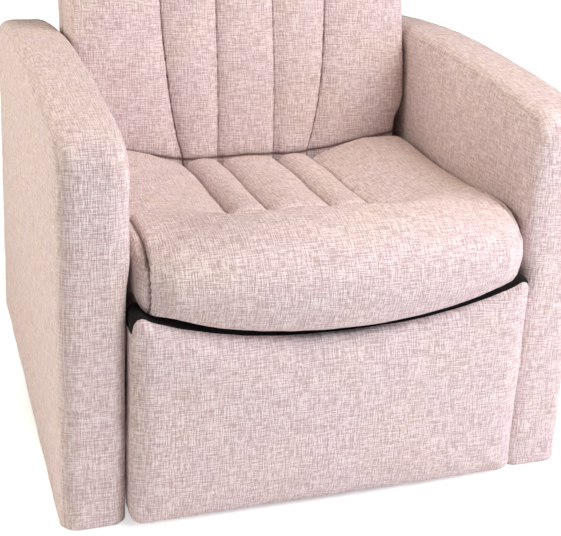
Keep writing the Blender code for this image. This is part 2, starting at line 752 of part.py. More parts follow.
def back_face(x, height):
    """Depth of the back's front face: lumbar bulge, head roll, wings and channels."""
    seam = back_seam(height)
    lumbar = BACK_LUMBAR_BULGE * bump(height - BACK_LUMBAR_HEIGHT, BACK_LUMBAR_SPREAD)
    head = BACK_HEAD_ROLL * bump(height - BACK_HEAD_HEIGHT, BACK_HEAD_SPREAD)
    outwards = ease((abs(x) - seam) / (SEAT_SIDE_RAMP / 2))
    wing = BACK_WING_BULGE * outwards * ease(height / BACK_LUMBAR_HEIGHT)
    tuck = BACK_TUCK_IN * ease((BACK_TUCK + BACK_TUCK_RISE - height) / BACK_TUCK_RISE)
    below = ease((BACK_SEAM_TOP - height) / SEAM_HALF)
    groove = SEAM_DEPTH * (1 - outwards) * bump(height - BACK_SEAM_TOP, SEAM_HALF / 2)
    return BACK_FRONT + tuck - lumbar - head - wing * below + groove - channel_relief(x, seam) * below


def back_x(share, height):
    """x at a height for a station given as (piece of the width, share of that piece)."""
    piece, part = share
    marks = (0.0, INNER_SEAM_X, back_seam(height), back_half(height) - BACK_EDGE_RADIUS)
    start, stop = marks[piece], marks[piece + 1]
    return start + (stop - start) * part


def back_section(share, side, inset=0.0, outward=0.0):
    """Side view of the back cushion at one station as (x, y, z) points, counter-clockwise in (y, z)."""
    top = back_top(back_x(share, BACK_TOP) + outward)
    roll_z = top - BACK_TOP_ROLL
    heights = [BACK_TUCK + SEAM_HALF]
    face_steps = 7
    for step in range(1, face_steps):
        heights.append(heights[0] + (BACK_SEAM_TOP - SEAM_HALF - heights[0]) * step / face_steps)
    heights += [BACK_SEAM_TOP - SEAM_HALF, BACK_SEAM_TOP, BACK_SEAM_TOP + SEAM_HALF]
    heights += [(BACK_SEAM_TOP + SEAM_HALF + roll_z) / 2]
    low_face = back_face(back_x(share, heights[0]), heights[0])
    tuck_rear = BACK_FRONT + BACK_TUCK_DEPTH
    loop = [(low_face + SEAM_HALF, BACK_TUCK), (tuck_rear, BACK_TUCK)]
    loop.append((tuck_rear + SEAM_HALF / 2, BACK_BOTTOM))
    loop += [(BACK_REAR, z) for z in (BACK_BOTTOM, (BACK_BOTTOM + roll_z) / 2, roll_z, top)]
    front_at_roll = back_face(back_x(share, roll_z), roll_z)
    reach = (BACK_REAR - front_at_roll) / 2
    for y, z in arc((0.0, 0.0), 1.0, math.pi / 2, math.pi, 4):
        loop.append((front_at_roll + reach * (1 + y), roll_z + z * BACK_TOP_ROLL))
    loop += [(back_face(back_x(share, z), z), z) for z in reversed(heights)]
    if inset:
        loop = inset_loop(loop, inset)
    return [(side * (back_x(share, z) + outward), y, z) for y, z in loop]


def back_cushion():
    """Back cushion with channels, lumbar bulge, head roll and rounded sides."""
    near, far = BACK_SEAM_STATION, 1 - BACK_SEAM_STATION
    shares = [(0, 0.0), (0, 0.5), (0, far), (1, 0.0), (1, near), (1, 0.5), (1, far), (2, 0.0)]
    shares += [(2, share) for share in BACK_WING_STATIONS]
    profile = edge_profile(BACK_EDGE_RADIUS, 4)[:-1]
    edge = shares[-1]
    rings = [back_section(edge, -1, inset, BACK_EDGE_RADIUS - depth) for depth, inset in profile]
    rings += [back_section(share, -1) for share in reversed(shares)]
    rings += [back_section(share, 1) for share in shares[1:]]
    rings += [back_section(edge, 1, inset, BACK_EDGE_RADIUS - depth) for depth, inset in reversed(profile)]
    return bridge_rings(rings)


def shell_outline():
    """Front view of the outside back, counter-clockwise in (x, z)."""
    top_steps = 12
    points = []
    for z in (BACK_BOTTOM, BACK_HEAD_FROM, (BACK_HEAD_FROM + BACK_TOP) / 2):
        points.append((back_half(z), z))
    for step in range(top_steps + 1):
        x = BACK_HALF * (1 - 2 * step / top_steps)
        points.append((x, back_top(x) - FIT_GAP))
    return points + [(-x, z) for x, z in points[2::-1]]


def outside_back():
    """Upholstered rear shell that closes over the back frame, open towards the cushion and below."""
    outline = shell_outline()
    front = BACK_REAR + FIT_GAP
    rear = front + BACK_SHELL_DEPTH
    rings = [[(x, front, z) for x, z in outline]]
    for depth, inset in reversed(edge_profile(BACK_SHELL_EDGE, 3)):
        rings.append([(x, rear - depth, z) for x, z in inset_loop(outline, inset, BACK_BOTTOM)])
    hollow_half = layer(FRONT_LAYER)[1] + FIT_GAP
    hollow_top = post_top() + FIT_GAP
    low = (-hollow_half, front - BACK_SHELL_WALL, BACK_BOTTOM - BACK_SHELL_WALL)
    high = (hollow_half, rear - BACK_SHELL_WALL, hollow_top)
    return combine(bridge_rings(rings), box(low, high), "DIFFERENCE")


def post_front():
    """Depth of the back posts' front faces, behind the webbing."""
    return BACK_REAR + FIT_GAP + STRAP_THICKNESS + FIT_GAP


def post_top():
    """Height of the back posts' upper ends, below the shell's shoulders."""
    return BACK_TOP - BACK_SHOULDER_DROP - POST_TOP_GAP - FIT_GAP


def back_post():
    """Hardwood upright of the back frame."""
    outer = layer(FRONT_LAYER)[0] - FIT_GAP
    low = (outer - POST_WIDTH, post_front(), BACK_BOTTOM)
    return box(low, (outer, post_front() + POST_DEPTH, post_top()), bevel=TIMBER_BEVEL)


def frame_heights(count, end_steps):
    """Evenly spaced heights from the lowest back rail to the top one, less some steps at both ends."""
    highest = post_top() - BACK_RAIL_TOP_MARGIN - BACK_RAIL_HEIGHT
    step = (highest - BACK_RAIL_LOW) / (count - 1 + 2 * end_steps)
    return [BACK_RAIL_LOW + step * (index + end_steps) for index in range(count)]


def back_rail(height):
    """Cross rail between the back posts."""
    reach = layer(FRONT_LAYER)[0] - POST_WIDTH - 2 * FIT_GAP
    front = post_front()
    return box((-reach, front, height), (reach, front + POST_DEPTH, height + BACK_RAIL_HEIGHT))


def back_strap(height):
    """Elastic webbing across the front of the back posts."""
    reach = layer(FRONT_LAYER)[0] - FIT_GAP
    front = BACK_REAR + FIT_GAP
    return box((-reach, front, height), (reach, front + STRAP_THICKNESS, height + STRAP_WIDTH))


def back_bracket():
    """Cranked steel bracket from the hinge, under the cushion, and up the side of the post."""
    middle = post_front() + POST_DEPTH / 2
    low_z = BACK_BOTTOM - 2 * BAR_HALF_WIDTH - FIT_GAP
    path = [(0.0, 0.0), (middle, low_z), (middle, BACK_BRACKET_REACH)]
    return plate(strip_outline(path, BAR_HALF_WIDTH), [(0.0, 0.0)], *layer(FRONT_LAYER))


def swing_foot(index):
    """(y, z) of a swing link's pivot on the base rail, front link first."""
    return behind_panel(SWING_FRONT_FROM_PANEL + index * SWING_SPACING, SWING_FOOT_Z)


def swing_head(index):
    """(y, z) of a swing link's pivot on the seat's side plate."""
    foot = swing_foot(index)
    return (foot[0] + SWING_LENGTH * math.sin(SWING_LEAN), foot[1] + SWING_LENGTH * math.cos(SWING_LEAN))


def swing_link(index):
    """Flat link that carries the seat on the base."""
    ends = [swing_foot(index), swing_head(index)]
    return plate(strip_outline(ends, BAR_HALF_WIDTH), ends, *layer(SWING_LAYER))


def plate_slots(height):
    """Outlines of the side plate's slots: one between the footrest pivots, two between the swings."""
    first, last = swing_head(0)[0], swing_head(1)[0]
    quarter = (last - first) / 4
    middles = ((PIVOT_FRONT[0] + PIVOT_REAR[0]) / 2, first + quarter, last - quarter)
    reach = PLATE_SLOT_LENGTH / 2 - PLATE_SLOT_RADIUS
    return [strip_outline([(y - reach, height), (y + reach, height)], PLATE_SLOT_RADIUS) for y in middles]


def side_plate():
    """Steel side plate of the seat: slotted bar, rear lug for the back hinge, top flange and pins."""
    hinge = (BACK_HINGE_Y, BACK_HINGE_Z)
    front = PIVOT_FRONT[0] - PLATE_FRONT_MARGIN
    top = SEAT_RAIL_BOTTOM_Z - FIT_GAP
    outline = [(front, PLATE_BOTTOM_Z + PLATE_LUG), (front + PLATE_LUG, PLATE_BOTTOM_Z)]
    outline += [(hinge[0], PLATE_BOTTOM_Z), (hinge[0] + PLATE_LUG, PLATE_BOTTOM_Z + PLATE_LUG)]
    outline += arc(hinge, PLATE_LUG, 0.0, math.pi, 8)
    outline += [(hinge[0] - PLATE_LUG, top), (front, top)]
    inner, outer = layer(SEAT_LAYER)
    shape = plate(outline, [], inner, outer, plate_slots((PLATE_BOTTOM_Z + top) / 2))
    flange_inner = seat_rail_half() - SEAT_RAIL_THICKNESS
    flange_low = (flange_inner, PANEL_REAR_Y + PLATE_FLANGE_FROM_PANEL, top - BAR_THICKNESS)
    flange_high = ((inner + outer) / 2, SEAT_REAR_Y, top)
    shape = combine(shape, box(flange_low, flange_high), "UNION")
    shape = add_pin(shape, PIVOT_FRONT, SEAT_LAYER, FRONT_LAYER)
    shape = add_pin(shape, PIVOT_REAR, SEAT_LAYER, INNER_LAYER, spacer=True)
    shape = add_pin(shape, hinge, SEAT_LAYER, FRONT_LAYER)
    for index in range(2):
        shape = add_pin(shape, swing_head(index), SEAT_LAYER, SWING_LAYER)
    return shape


def base_rail():
    """Folded steel rail on the arm's inner side, with the swing links' pins and two bolt heads."""
    inner, outer = layer(RAIL_LAYER)
    face = ARM_INNER_X - FIT_GAP
    wall = face - BAR_THICKNESS
    shelf = BASE_RAIL_TOP_Z - BAR_THICKNESS
    flange_top = BASE_RAIL_TOP_Z + BASE_RAIL_FLANGE
    profile = [(inner, BASE_RAIL_BOTTOM_Z), (outer, BASE_RAIL_BOTTOM_Z), (outer, shelf), (face, shelf)]
    profile += [(face, flange_top), (wall, flange_top), (wall, BASE_RAIL_TOP_Z), (inner, BASE_RAIL_TOP_Z)]
    ends = (swing_foot(0)[0] - BASE_RAIL_OVERHANG, swing_foot(1)[0] + 2 * BASE_RAIL_OVERHANG)
    shape = bridge_rings([[(x, y, z) for x, z in profile] for y in ends])
    bolt_z = BASE_RAIL_TOP_Z + BASE_RAIL_FLANGE / 2
    for y in (ends[0] + BASE_RAIL_OVERHANG / 2, ends[1] - BASE_RAIL_OVERHANG / 2):
        bolt = rod((y, bolt_z), BOLT_RADIUS, wall - BOLT_HEAD, wall + BAR_THICKNESS / 2, sides=6)
        shape = combine(shape, bolt, "UNION")
    for index in range(2):
        shape = add_pin(shape, swing_foot(index), RAIL_LAYER, SWING_LAYER)
    return shape


def drive_tube_centre():
    """(y, z) of the tube that ties the two front links together."""
    y, z = PIVOT_CROSS
    across = DRIVE_TUBE_REACH * math.cos(DRIVE_TUBE_ANGLE)
    return (y + across, z + DRIVE_TUBE_REACH * math.sin(DRIVE_TUBE_ANGLE))


def front_link():
    """Front footrest link: hung on the side plate, with pins for the lower and upper links."""
    pivots = [PIVOT_FRONT, PIVOT_CROSS, PIVOT_UPPER, drive_tube_centre()]
    shape = plate(hull_outline(pivots, BAR_HALF_WIDTH), [PIVOT_FRONT], *layer(FRONT_LAYER))
    for pivot in (PIVOT_CROSS, PIVOT_UPPER):
        shape = add_pin(shape, pivot, FRONT_LAYER, MIDDLE_LAYER)
    return shape


def lower_link():
    """Cranked footrest link from the rear link, past the front link, to the board bracket."""
    path = [PIVOT_OPEN_REAR, PIVOT_CROSS, PIVOT_BOARD]
    shape = plate(strip_outline(path, BAR_HALF_WIDTH), [PIVOT_CROSS], *layer(MIDDLE_LAYER))
    shape = add_head(shape, PIVOT_OPEN_REAR, MIDDLE_LAYER)
    return add_pin(shape, PIVOT_BOARD, MIDDLE_LAYER, INNER_LAYER)


def upper_link():
    """Straight footrest link from the front link's end to the board bracket."""
    path = [PIVOT_UPPER, PIVOT_OPEN_BOARD]
    shape = plate(strip_outline(path, BAR_HALF_WIDTH), [PIVOT_UPPER], *layer(MIDDLE_LAYER))
    return add_head(shape, PIVOT_OPEN_BOARD, MIDDLE_LAYER)


def rear_link():
    """Rear footrest link, which steers the lower link."""
    path = [PIVOT_REAR, PIVOT_OPEN_REAR]
    shape = plate(strip_outline(path, BAR_HALF_WIDTH), [PIVOT_REAR], *layer(INNER_LAYER))
    return add_stub(shape, PIVOT_OPEN_REAR, INNER_LAYER, MIDDLE_LAYER)


def footrest_bracket():
    """Angle bracket screwed to the footrest board, with the two board pivots."""
    inner, outer = layer(INNER_LAYER)
    face = PANEL_REAR_Y + FIT_GAP
    low = PIVOT_OPEN_BOARD[1] - BRACKET_FOOT
    high = PIVOT_BOARD[1] + BAR_HALF_WIDTH
    outline = hull_outline([PIVOT_BOARD, PIVOT_OPEN_BOARD], BAR_HALF_WIDTH, ((face, low), (face, high)))
    shape = plate(outline, [PIVOT_BOARD], inner, outer)
    flange_low = (inner - BRACKET_FLANGE_WIDTH, face, low)
    flange_high = ((inner + outer) / 2, face + BAR_THICKNESS, high)
    shape = combine(shape, box(flange_low, flange_high), "UNION")
    return add_stub(shape, PIVOT_OPEN_BOARD, INNER_LAYER, MIDDLE_LAYER)


def seat_rail_half():
    """Half width of the wooden seat frame, clear of the linkage."""
    return layer(INNER_LAYER)[0] - SEAT_RAIL_SIDE_GAP


def seat_rail_ends():
    """y of the seat frame's front and rear faces."""
    return PANEL_REAR_Y + SEAT_STEP_GAP + SEAT_RAIL_BEHIND_STEP, SEAT_REAR_Y - SEAT_RAIL_REAR_GAP


def seat_cross_rail(at_front):
    """Front or rear rail of the seat frame."""
    front, rear = seat_rail_ends()
    start = front if at_front else rear - SEAT_RAIL_THICKNESS
    half = seat_rail_half()
    low = (-half, start, SEAT_RAIL_BOTTOM_Z)
    return box(low, (half, start + SEAT_RAIL_THICKNESS, SEAT_RAIL_TOP_Z), bevel=TIMBER_BEVEL)


def seat_side_rail():
    """Side rail of the seat frame, resting on the side plate's flange."""
    front, rear = seat_rail_ends()
    half = seat_rail_half()
    low = (half - SEAT_RAIL_THICKNESS, front + SEAT_RAIL_THICKNESS + FIT_GAP, SEAT_RAIL_BOTTOM_Z)
    high = (half, rear - SEAT_RAIL_THICKNESS - FIT_GAP, SEAT_RAIL_TOP_Z)
    return box(low, high, bevel=TIMBER_BEVEL)


def seat_spring(x_middle):
    """Sinuous spring from the front seat rail to the rear one."""
    front, rear = seat_rail_ends()
    start = front + SEAT_RAIL_THICKNESS / 2
    stop = rear - SEAT_RAIL_THICKNESS / 2
    pitch = (stop - start) / (SPRING_LOOPS + 1)
    z = SEAT_RAIL_TOP_Z + FIT_GAP + SPRING_WIRE / 2
    points = [(x_middle, start, z)]
    for loop in range(SPRING_LOOPS):
        x = x_middle + SPRING_SWING * (1 if loop % 2 else -1)
        y = start + pitch * (loop + 1)
        points += [(x, y - pitch / 3, z), (x, y + pitch / 3, z)]
    points.append((x_middle, stop, z))
    curve = bpy.data.curves.new("spring", "CURVE")
    curve.dimensions = "3D"
    curve.bevel_depth = SPRING_WIRE / 2
    curve.bevel_resolution = 1
    curve.use_fill_caps = True
    spline = curve.splines.new("POLY")
    spline.points.add(len(points) - 1)
    for point, place in zip(spline.points, points):
        point.co = (*place, 1.0)
    shape = evaluated_shape(link_object("spring", curve))
    bpy.data.curves.remove(curve)
    bmesh.ops.remove_doubles(shape, verts=shape.verts, dist=FIT_GAP / 10)
    return shape


def build_base():
    """Arms, glides, base rails, cross tube and rear apron."""
    finish_pair("arm_cover", arm_cover, FABRIC)
    finish_pair("arm_frame", arm_frame, WOOD)
    arm_middle = (WIDTH / 2 + ARM_INNER_X) / 2
    for place, y in (("front", ARM_FRONT_Y + GLIDE_INSET), ("rear", REAR_Y - GLIDE_INSET)):
        for side, sign in (("left", 1), ("right", -1)):
            made = finish_object(f"glide_{place}_{side}", glide(), GLIDE_PLASTIC)
            made.location = (sign * arm_middle, y, 0.0)
    finish_pair("base_rail", base_rail, STEEL)
    reach = layer(RAIL_LAYER)[0] - FIT_GAP
    tube_y = (swing_foot(0)[0] + swing_foot(1)[0]) / 2
    tube = rod((tube_y, CROSS_TUBE_Z), CROSS_TUBE_RADIUS, -reach, reach, ROUND_SIDES)
    finish_object("base_cross_tube", tube, DARK_STEEL)
    rear = REAR_Y - APRON_INSET
    half = ARM_INNER_X - FIT_GAP
    apron_low = (-half, rear - APRON_THICKNESS, APRON_BOTTOM_Z)
    apron = box(apron_low, (half, rear, APRON_TOP_Z), bevel=APRON_BEVEL)
    finish_object("rear_apron", apron, FABRIC)


def build_seat():
    """Swing links, side plates, seat frame, springs and cushion."""
    for index, place in enumerate(("front", "rear")):
        foot = (0.0, *swing_foot(index))
        finish_pair(f"swing_link_{place}", lambda: swing_link(index), STEEL, foot)
    finish_pair("side_plate", side_plate, STEEL, (0.0, *swing_head(0)))
    finish_object("seat_rail_front", seat_cross_rail(True), WOOD)
    finish_object("seat_rail_rear", seat_cross_rail(False), WOOD)
    finish_pair("seat_rail_side", seat_side_rail, WOOD)
    outermost = seat_rail_half() - SEAT_RAIL_THICKNESS - SPRING_SIDE_MARGIN
    for index in range(SPRING_COUNT):
        x = outermost * (2 * index / (SPRING_COUNT - 1) - 1)
        finish_object(f"seat_spring_{index + 1}", seat_spring(x), SPRING_STEEL)
    finish_object("seat_cushion", seat_cushion(), FABRIC, smooth_angle=CUSHION_SMOOTH_ANGLE)


def build_back():
    """Everything that reclines, hung on an empty at the hinge."""
    hinge = link_object("back_hinge", None)
    hinge.location = (0.0, BACK_HINGE_Y, BACK_HINGE_Z)
    hinge.rotation_euler = (-BACK_LEAN, 0.0, 0.0)
    finish_pair("back_bracket", back_bracket, STEEL, parent=hinge)
    finish_pair("back_post", back_post, WOOD, parent=hinge)
    for index, height in enumerate(frame_heights(BACK_RAIL_COUNT, 0)):
        finish_object(f"back_rail_{index + 1}", back_rail(height), WOOD, parent=hinge)
    for index, height in enumerate(frame_heights(STRAP_COUNT, 1)):
        finish_object(f"back_strap_{index + 1}", back_strap(height), STRAPPING, parent=hinge)
    finish_object("back_cushion", back_cushion(), FABRIC, parent=hinge, smooth_angle=CUSHION_SMOOTH_ANGLE)
    finish_object("outside_back", outside_back(), FABRIC, parent=hinge)


def build_footrest():
    """Footrest links, drive tube, brackets, board and pad."""
    finish_pair("front_link", front_link, STEEL, (0.0, *PIVOT_FRONT))
    reach = layer(FRONT_LAYER)[0] - FIT_GAP
    tube = rod(drive_tube_centre(), DRIVE_TUBE_RADIUS, -reach, reach, ROUND_SIDES)
    finish_object("drive_tube", tube, DARK_STEEL, (0.0, *PIVOT_FRONT))
    finish_pair("rear_link", rear_link, STEEL, (0.0, *PIVOT_REAR))
    finish_pair("lower_link", lower_link, STEEL, (0.0, *PIVOT_CROSS))
    finish_pair("upper_link", upper_link, STEEL, (0.0, *PIVOT_UPPER))
    finish_pair("footrest_bracket", footrest_bracket, STEEL, (0.0, *PIVOT_BOARD))
    finish_object("footrest_board", box(*board_corners(), bevel=BOARD_BEVEL), WOOD, (0.0, *PIVOT_BOARD))
    finish_object("footrest_pad", footrest_pad(), FABRIC, (0.0, *PIVOT_BOARD))


build_base()
build_seat()
build_back()
build_footrest()
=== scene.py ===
"""Looks of a push-back manual recliner in mushroom linen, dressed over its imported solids.

Metres, +Z up. The chair faces -Y and +X is the sitter's left.
"""
import json
import logging
import math
from dataclasses import dataclass, field
from enum import Enum
from itertools import chain
from typing import Any

import bpy
import numpy as np
from bpy.types import Material, Mesh, Node, NodeSocket, NodeTree, Object
from mathutils import Matrix, Vector


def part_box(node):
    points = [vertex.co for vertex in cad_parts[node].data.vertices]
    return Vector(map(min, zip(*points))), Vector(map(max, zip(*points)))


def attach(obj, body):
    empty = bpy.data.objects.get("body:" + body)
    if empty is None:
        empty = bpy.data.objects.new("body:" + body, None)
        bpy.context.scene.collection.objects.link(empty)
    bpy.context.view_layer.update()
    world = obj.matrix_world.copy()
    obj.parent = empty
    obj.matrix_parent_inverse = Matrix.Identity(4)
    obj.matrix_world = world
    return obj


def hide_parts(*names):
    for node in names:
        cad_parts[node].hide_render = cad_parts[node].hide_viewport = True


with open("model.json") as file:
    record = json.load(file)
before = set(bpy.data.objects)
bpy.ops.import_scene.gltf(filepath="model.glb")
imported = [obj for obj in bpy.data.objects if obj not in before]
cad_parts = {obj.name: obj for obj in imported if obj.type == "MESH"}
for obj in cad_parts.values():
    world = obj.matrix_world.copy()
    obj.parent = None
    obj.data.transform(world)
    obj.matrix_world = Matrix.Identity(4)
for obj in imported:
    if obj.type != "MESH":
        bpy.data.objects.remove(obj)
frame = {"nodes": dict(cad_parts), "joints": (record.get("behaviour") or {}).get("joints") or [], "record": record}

Array = np.ndarray
Place = tuple[float, float, float]
Span = tuple[float, float]
Path = tuple[Span, ...]
Planes = list[tuple[Vector, Vector]]

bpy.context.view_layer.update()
LOG = logging.getLogger("recliner")
MM = 0.001
TINY = 1e-9
# Name of the per-vertex share of painted shade that darkens each seam's crease.
CREASE_SHADE_ATTRIBUTE = "painted_crease_shade"
CLOTH_RUN = "cloth_run"

# Colour sockets of the Mix node, by number because its socket names repeat.
MIX_FIRST = 6
MIX_SECOND = 7
MIX_RESULT = 2

# Share of a unit normal along a direction, for faces that look squarely, mostly or loosely that way.
SQUARELY = 0.8
MOSTLY = 0.5
LOOSELY = 0.3

# Share of a normal along a seam's facing: the least for finer mesh, and where the seam fades in.
SEAM_FACING = 0.25
SEAM_FADE = (0.15, 0.45)

# Reach of each mesh refinement beside a seam, in half widths of the seam.
REFINE_REACHES = (4.0, 2.5, 1.5)


class Slot(Enum):
    """Material slots of the record."""

    WEAVE = "mushroom_weave"
    PLYWOOD = "plywood"
    ZINC = "zinc_steel"
    BLACK_STEEL = "black_steel"
    SPRING = "spring_steel"
    WEBBING = "elastic_webbing"
    PLASTIC = "black_plastic"


class Axis(Enum):
    """Directions of the chair as unit vectors."""

    ACROSS = (1.0, 0.0, 0.0)
    BACKWARDS = (0.0, 1.0, 0.0)
    UPWARDS = (0.0, 0.0, 1.0)
    FORWARDS = (0.0, -1.0, 0.0)


def srgb(code: str) -> tuple[float, float, float, float]:
    """Turn an sRGB hex value into a linear colour.

    Args:
        code: Six hex digits after a hash sign.

    Returns:
        Linear red, green, blue and an alpha of 1.
    """
    channels = []
    for start in (1, 3, 5):
        value = int(code[start:start + 2], 16) / 255
        channels.append(value / 12.92 if value <= 0.04045 else ((value + 0.055) / 1.055) ** 2.4)
    return (channels[0], channels[1], channels[2], 1.0)


def ramp(values: Array, low: float, high: float) -> Array:
    """Smooth step of an array from 0 at low to 1 at high.

    Args:
        values: The values to map.
        low: Value that maps to 0.
        high: Value that maps to 1.

    Returns:
        Values from 0 to 1.
    """
    share = np.clip((values - low) / (high - low), 0.0, 1.0)
    return share * share * (3 - 2 * share)


def add_node(
    tree: NodeTree,
    kind: str,
    settings: dict[str, Any] | None = None,
    inputs: dict[Any, Any] | None = None,
) -> Node:
    """Add a shader node with its settings, values and links.

    Args:
        tree: The node tree that takes the node.
        kind: Blender's name of the node type, without its prefix.
        settings: Attributes to set on the node.
        inputs: A value or an output socket for each named or numbered input.

    Returns:
        The new node.
    """
    made = tree.nodes.new("ShaderNode" + kind)
    for key, value in (settings or {}).items():
        setattr(made, key, value)
    for key, value in (inputs or {}).items():
        if isinstance(value, NodeSocket):
            tree.links.new(value, made.inputs[key])
        else:
            made.inputs[key].default_value = value
    return made


@dataclass
class Shading:
    """A node material under work, with shorthand for what most finishes share."""

    name: str
    surface: dict[str, Any]
    material: Material = field(init=False)
    tree: NodeTree = field(init=False)
    shader: Node = field(init=False)
    place: NodeSocket = field(init=False)

    def __post_init__(self) -> None:
        """Start the material: set its Principled shader and add the place in metres."""
        self.material = bpy.data.materials.new(self.name)
        self.material.use_nodes = True
        self.tree = self.material.node_tree
        self.shader = self.tree.nodes["Principled BSDF"]
        for key, value in self.surface.items():
            self.shader.inputs[key].default_value = value
        self.place = self.node("TexCoord", {}, "Object")

    def node(self, kind: str, inputs: dict[Any, Any], output: int | str = 0, **settings: Any) -> NodeSocket:
        """Add a node.

        Args:
            kind: Blender's name of the node type, without its prefix.
            inputs: A value or an output socket for each named or numbered input.
            output: Name or number of the output to give back.
            settings: Attributes to set on the node.

        Returns:
            That output of the new node.
        """
        return add_node(self.tree, kind, settings, inputs).outputs[output]

    def span(
        self, value: NodeSocket, start: Span, end: Span = (0.0, 1.0), smooth: bool = False
    ) -> NodeSocket:
        """Map a value from one span to another.

        Args:
            value: The socket to map.
            start: The span that is mapped.
            end: The span that it is mapped to.
            smooth: Whether it eases in and out.

        Returns:
            The socket with the mapped value.
        """
        kind = "SMOOTHSTEP" if smooth else "LINEAR"
        ends = {"From Min": start[0], "From Max": start[1], "To Min": end[0], "To Max": end[1]}
        return self.node("MapRange", {"Value": value, **ends}, interpolation_type=kind)

    def bands(self, width: float, waver: float) -> NodeSocket:
        """Soft bands stacked upwards, from 0 to 1, each about as wide as said.

        Args:
            width: Width of a band.
            waver: How far the bands stray from straight.

        Returns:
            The socket with the bands.
        """
        inputs = {"Vector": self.place, "Scale": 1 / (width * 2 * math.pi), "Distortion": waver}
        return self.node("TexWave", inputs, "Fac", bands_direction="Z")

    def mix(self, share: NodeSocket, first: NodeSocket | str, second: str) -> NodeSocket:
        """Mix two colours.

        Args:
            share: The socket with the second colour's share.
            first: The first colour, as a socket or as sRGB hex.
            second: The second colour as sRGB hex.

        Returns:
            The socket with the mixed colour.
        """
        base = srgb(first) if isinstance(first, str) else first
        inputs = {0: share, MIX_FIRST: base, MIX_SECOND: srgb(second)}
        return self.node("Mix", inputs, MIX_RESULT, data_type="RGBA")

    def link(self, name: str, value: NodeSocket) -> None:
        """Link a socket to a named input of the shader."""
        self.tree.links.new(value, self.shader.inputs[name])

    def finish(self, tone: NodeSocket, height: NodeSocket, relief: float, strength: float = 1.0) -> Material:
        """Link the colour and a fine relief to the shader.

        Args:
            tone: The socket with the colour.
            height: The socket with the relief's height.
            relief: Depth of the relief.
            strength: Share of the relief that shows.

        Returns:
            The finished material.
        """
        self.link("Base Color", tone)
        self.link("Normal", self.node("Bump", {"Height": height, "Distance": relief, "Strength": strength}))
        return self.material


@dataclass(frozen=True)
class LinenWeave:
    """Slubby linen-look upholstery: threads both ways, pale slubs and dark flecks on a pinkish ground.

    Single threads are about 0.5 mm and too fine to show, so they are drawn in strands of about 2 mm.
    """

    ground: str = "#e1ced0"
    slub: str = "#faf4f4"
    fleck: str = "#a4898b"
    warm: str = "#e2cfca"
    # Dark brown of the painted shade in the seams' creases.
    crease_shade_colour: str = "#6b4842"
    strands: Path = ((36 * MM, 2.0 * MM), (12 * MM, 1.6 * MM))
    weft_shift: Place = (7.3, 3.1, 0.0)
    noise_span: Span = (0.28, 0.72)
    side_span: Span = (0.60, 0.80)
    mottle_size: float = 75 * MM
    warm_span: Span = (0.40, 0.68)
    full_weave: float = 1.4
    pale_share: float = 0.60
    dark_share: float = 0.42
    relief: float = 0.6 * MM
    relief_share: float = 0.5

    def strand_field(self, work: Shading, place: NodeSocket, length: float, width: float) -> NodeSocket:
        """Streaks both ways over a flattened place, from -1, dark, to 1, pale, each.

        Args:
            work: The material under work.
            place: The socket with the flattened place in metres.
            length: Usual length of a strand.
            width: Usual width of a strand.

        Returns:
            The socket with the summed streaks.
        """
        warp = {"Scale": (1 / length, 1 / width, 1.0)}
        weft = {"Scale": (1 / width, 1 / length, 1.0), "Location": self.weft_shift}
        ways = []
        for way in (warp, weft):
            mapped = work.node("Mapping", {"Vector": place, **way})
            inputs = {"Vector": mapped, "Scale": 1.0, "Detail": 1.0, "Roughness": 0.5}
            noise = work.node("TexNoise", inputs, noise_dimensions="2D")
            ways.append(work.span(noise, self.noise_span, (-1.0, 1.0)))
        return work.node("Math", {0: ways[0], 1: ways[1]}, operation="ADD")

    def weave(self, work: Shading) -> NodeSocket:
        """The whole weave: round the piece's outline on most faces, flat on the sides that face across.

        Args:
            work: The material under work.

        Returns:
            The socket with the weave's height, about -2 to 2.
        """
        x, y, z = add_node(work.tree, "SeparateXYZ", inputs={0: work.place}).outputs
        run = work.node("Attribute", {}, "Fac", attribute_name=CLOTH_RUN)
        round_outline = work.node("CombineXYZ", {0: x, 1: run})
        on_sides = work.node("CombineXYZ", {0: y, 1: z})
        fields = []
        for place in (round_outline, on_sides):
            longer, shorter = (self.strand_field(work, place, *size) for size in self.strands)
            fields.append(work.node("Math", {0: longer, 1: shorter}, operation="ADD"))
        facing_x = work.node("SeparateXYZ", {0: work.node("TexCoord", {}, "Normal")})
        across = work.node("Math", {0: facing_x}, operation="ABSOLUTE")
        side_share = work.span(across, self.side_span, smooth=True)
        return work.node("Mix", {"Factor": side_share, "A": fields[0], "B": fields[1]})

    def material(self) -> Material:
        """Make the woven upholstery material.

        Returns:
            The material, matt with a faint sheen and a thread relief.
        """
        matt = {"Roughness": 0.92, "Specular IOR Level": 0.2, "Sheen Weight": 0.10, "Sheen Roughness": 0.5}
        work = Shading("linen_weave", matt)
        weave = self.weave(work)
        mottle = work.node("TexNoise", {"Vector": work.place, "Scale": 1 / self.mottle_size, "Detail": 3.0})
        tone = work.mix(work.span(mottle, self.warm_span), self.ground, self.warm)
        pale = work.span(weave, (0.0, self.full_weave), (0.0, self.pale_share))
        dark = work.span(weave, (0.0, -self.full_weave), (0.0, self.dark_share))
        # Painted shade: each seam's crease is darkened toward that brown by the per-vertex share.
        stitches = work.node("Attribute", {}, "Fac", attribute_name=CREASE_SHADE_ATTRIBUTE)
        for share, colour in ((pale, self.slub), (dark, self.fleck), (stitches, self.crease_shade_colour)):
            tone = work.mix(share, tone, colour)
        return work.finish(tone, weave, self.relief, self.relief_share)


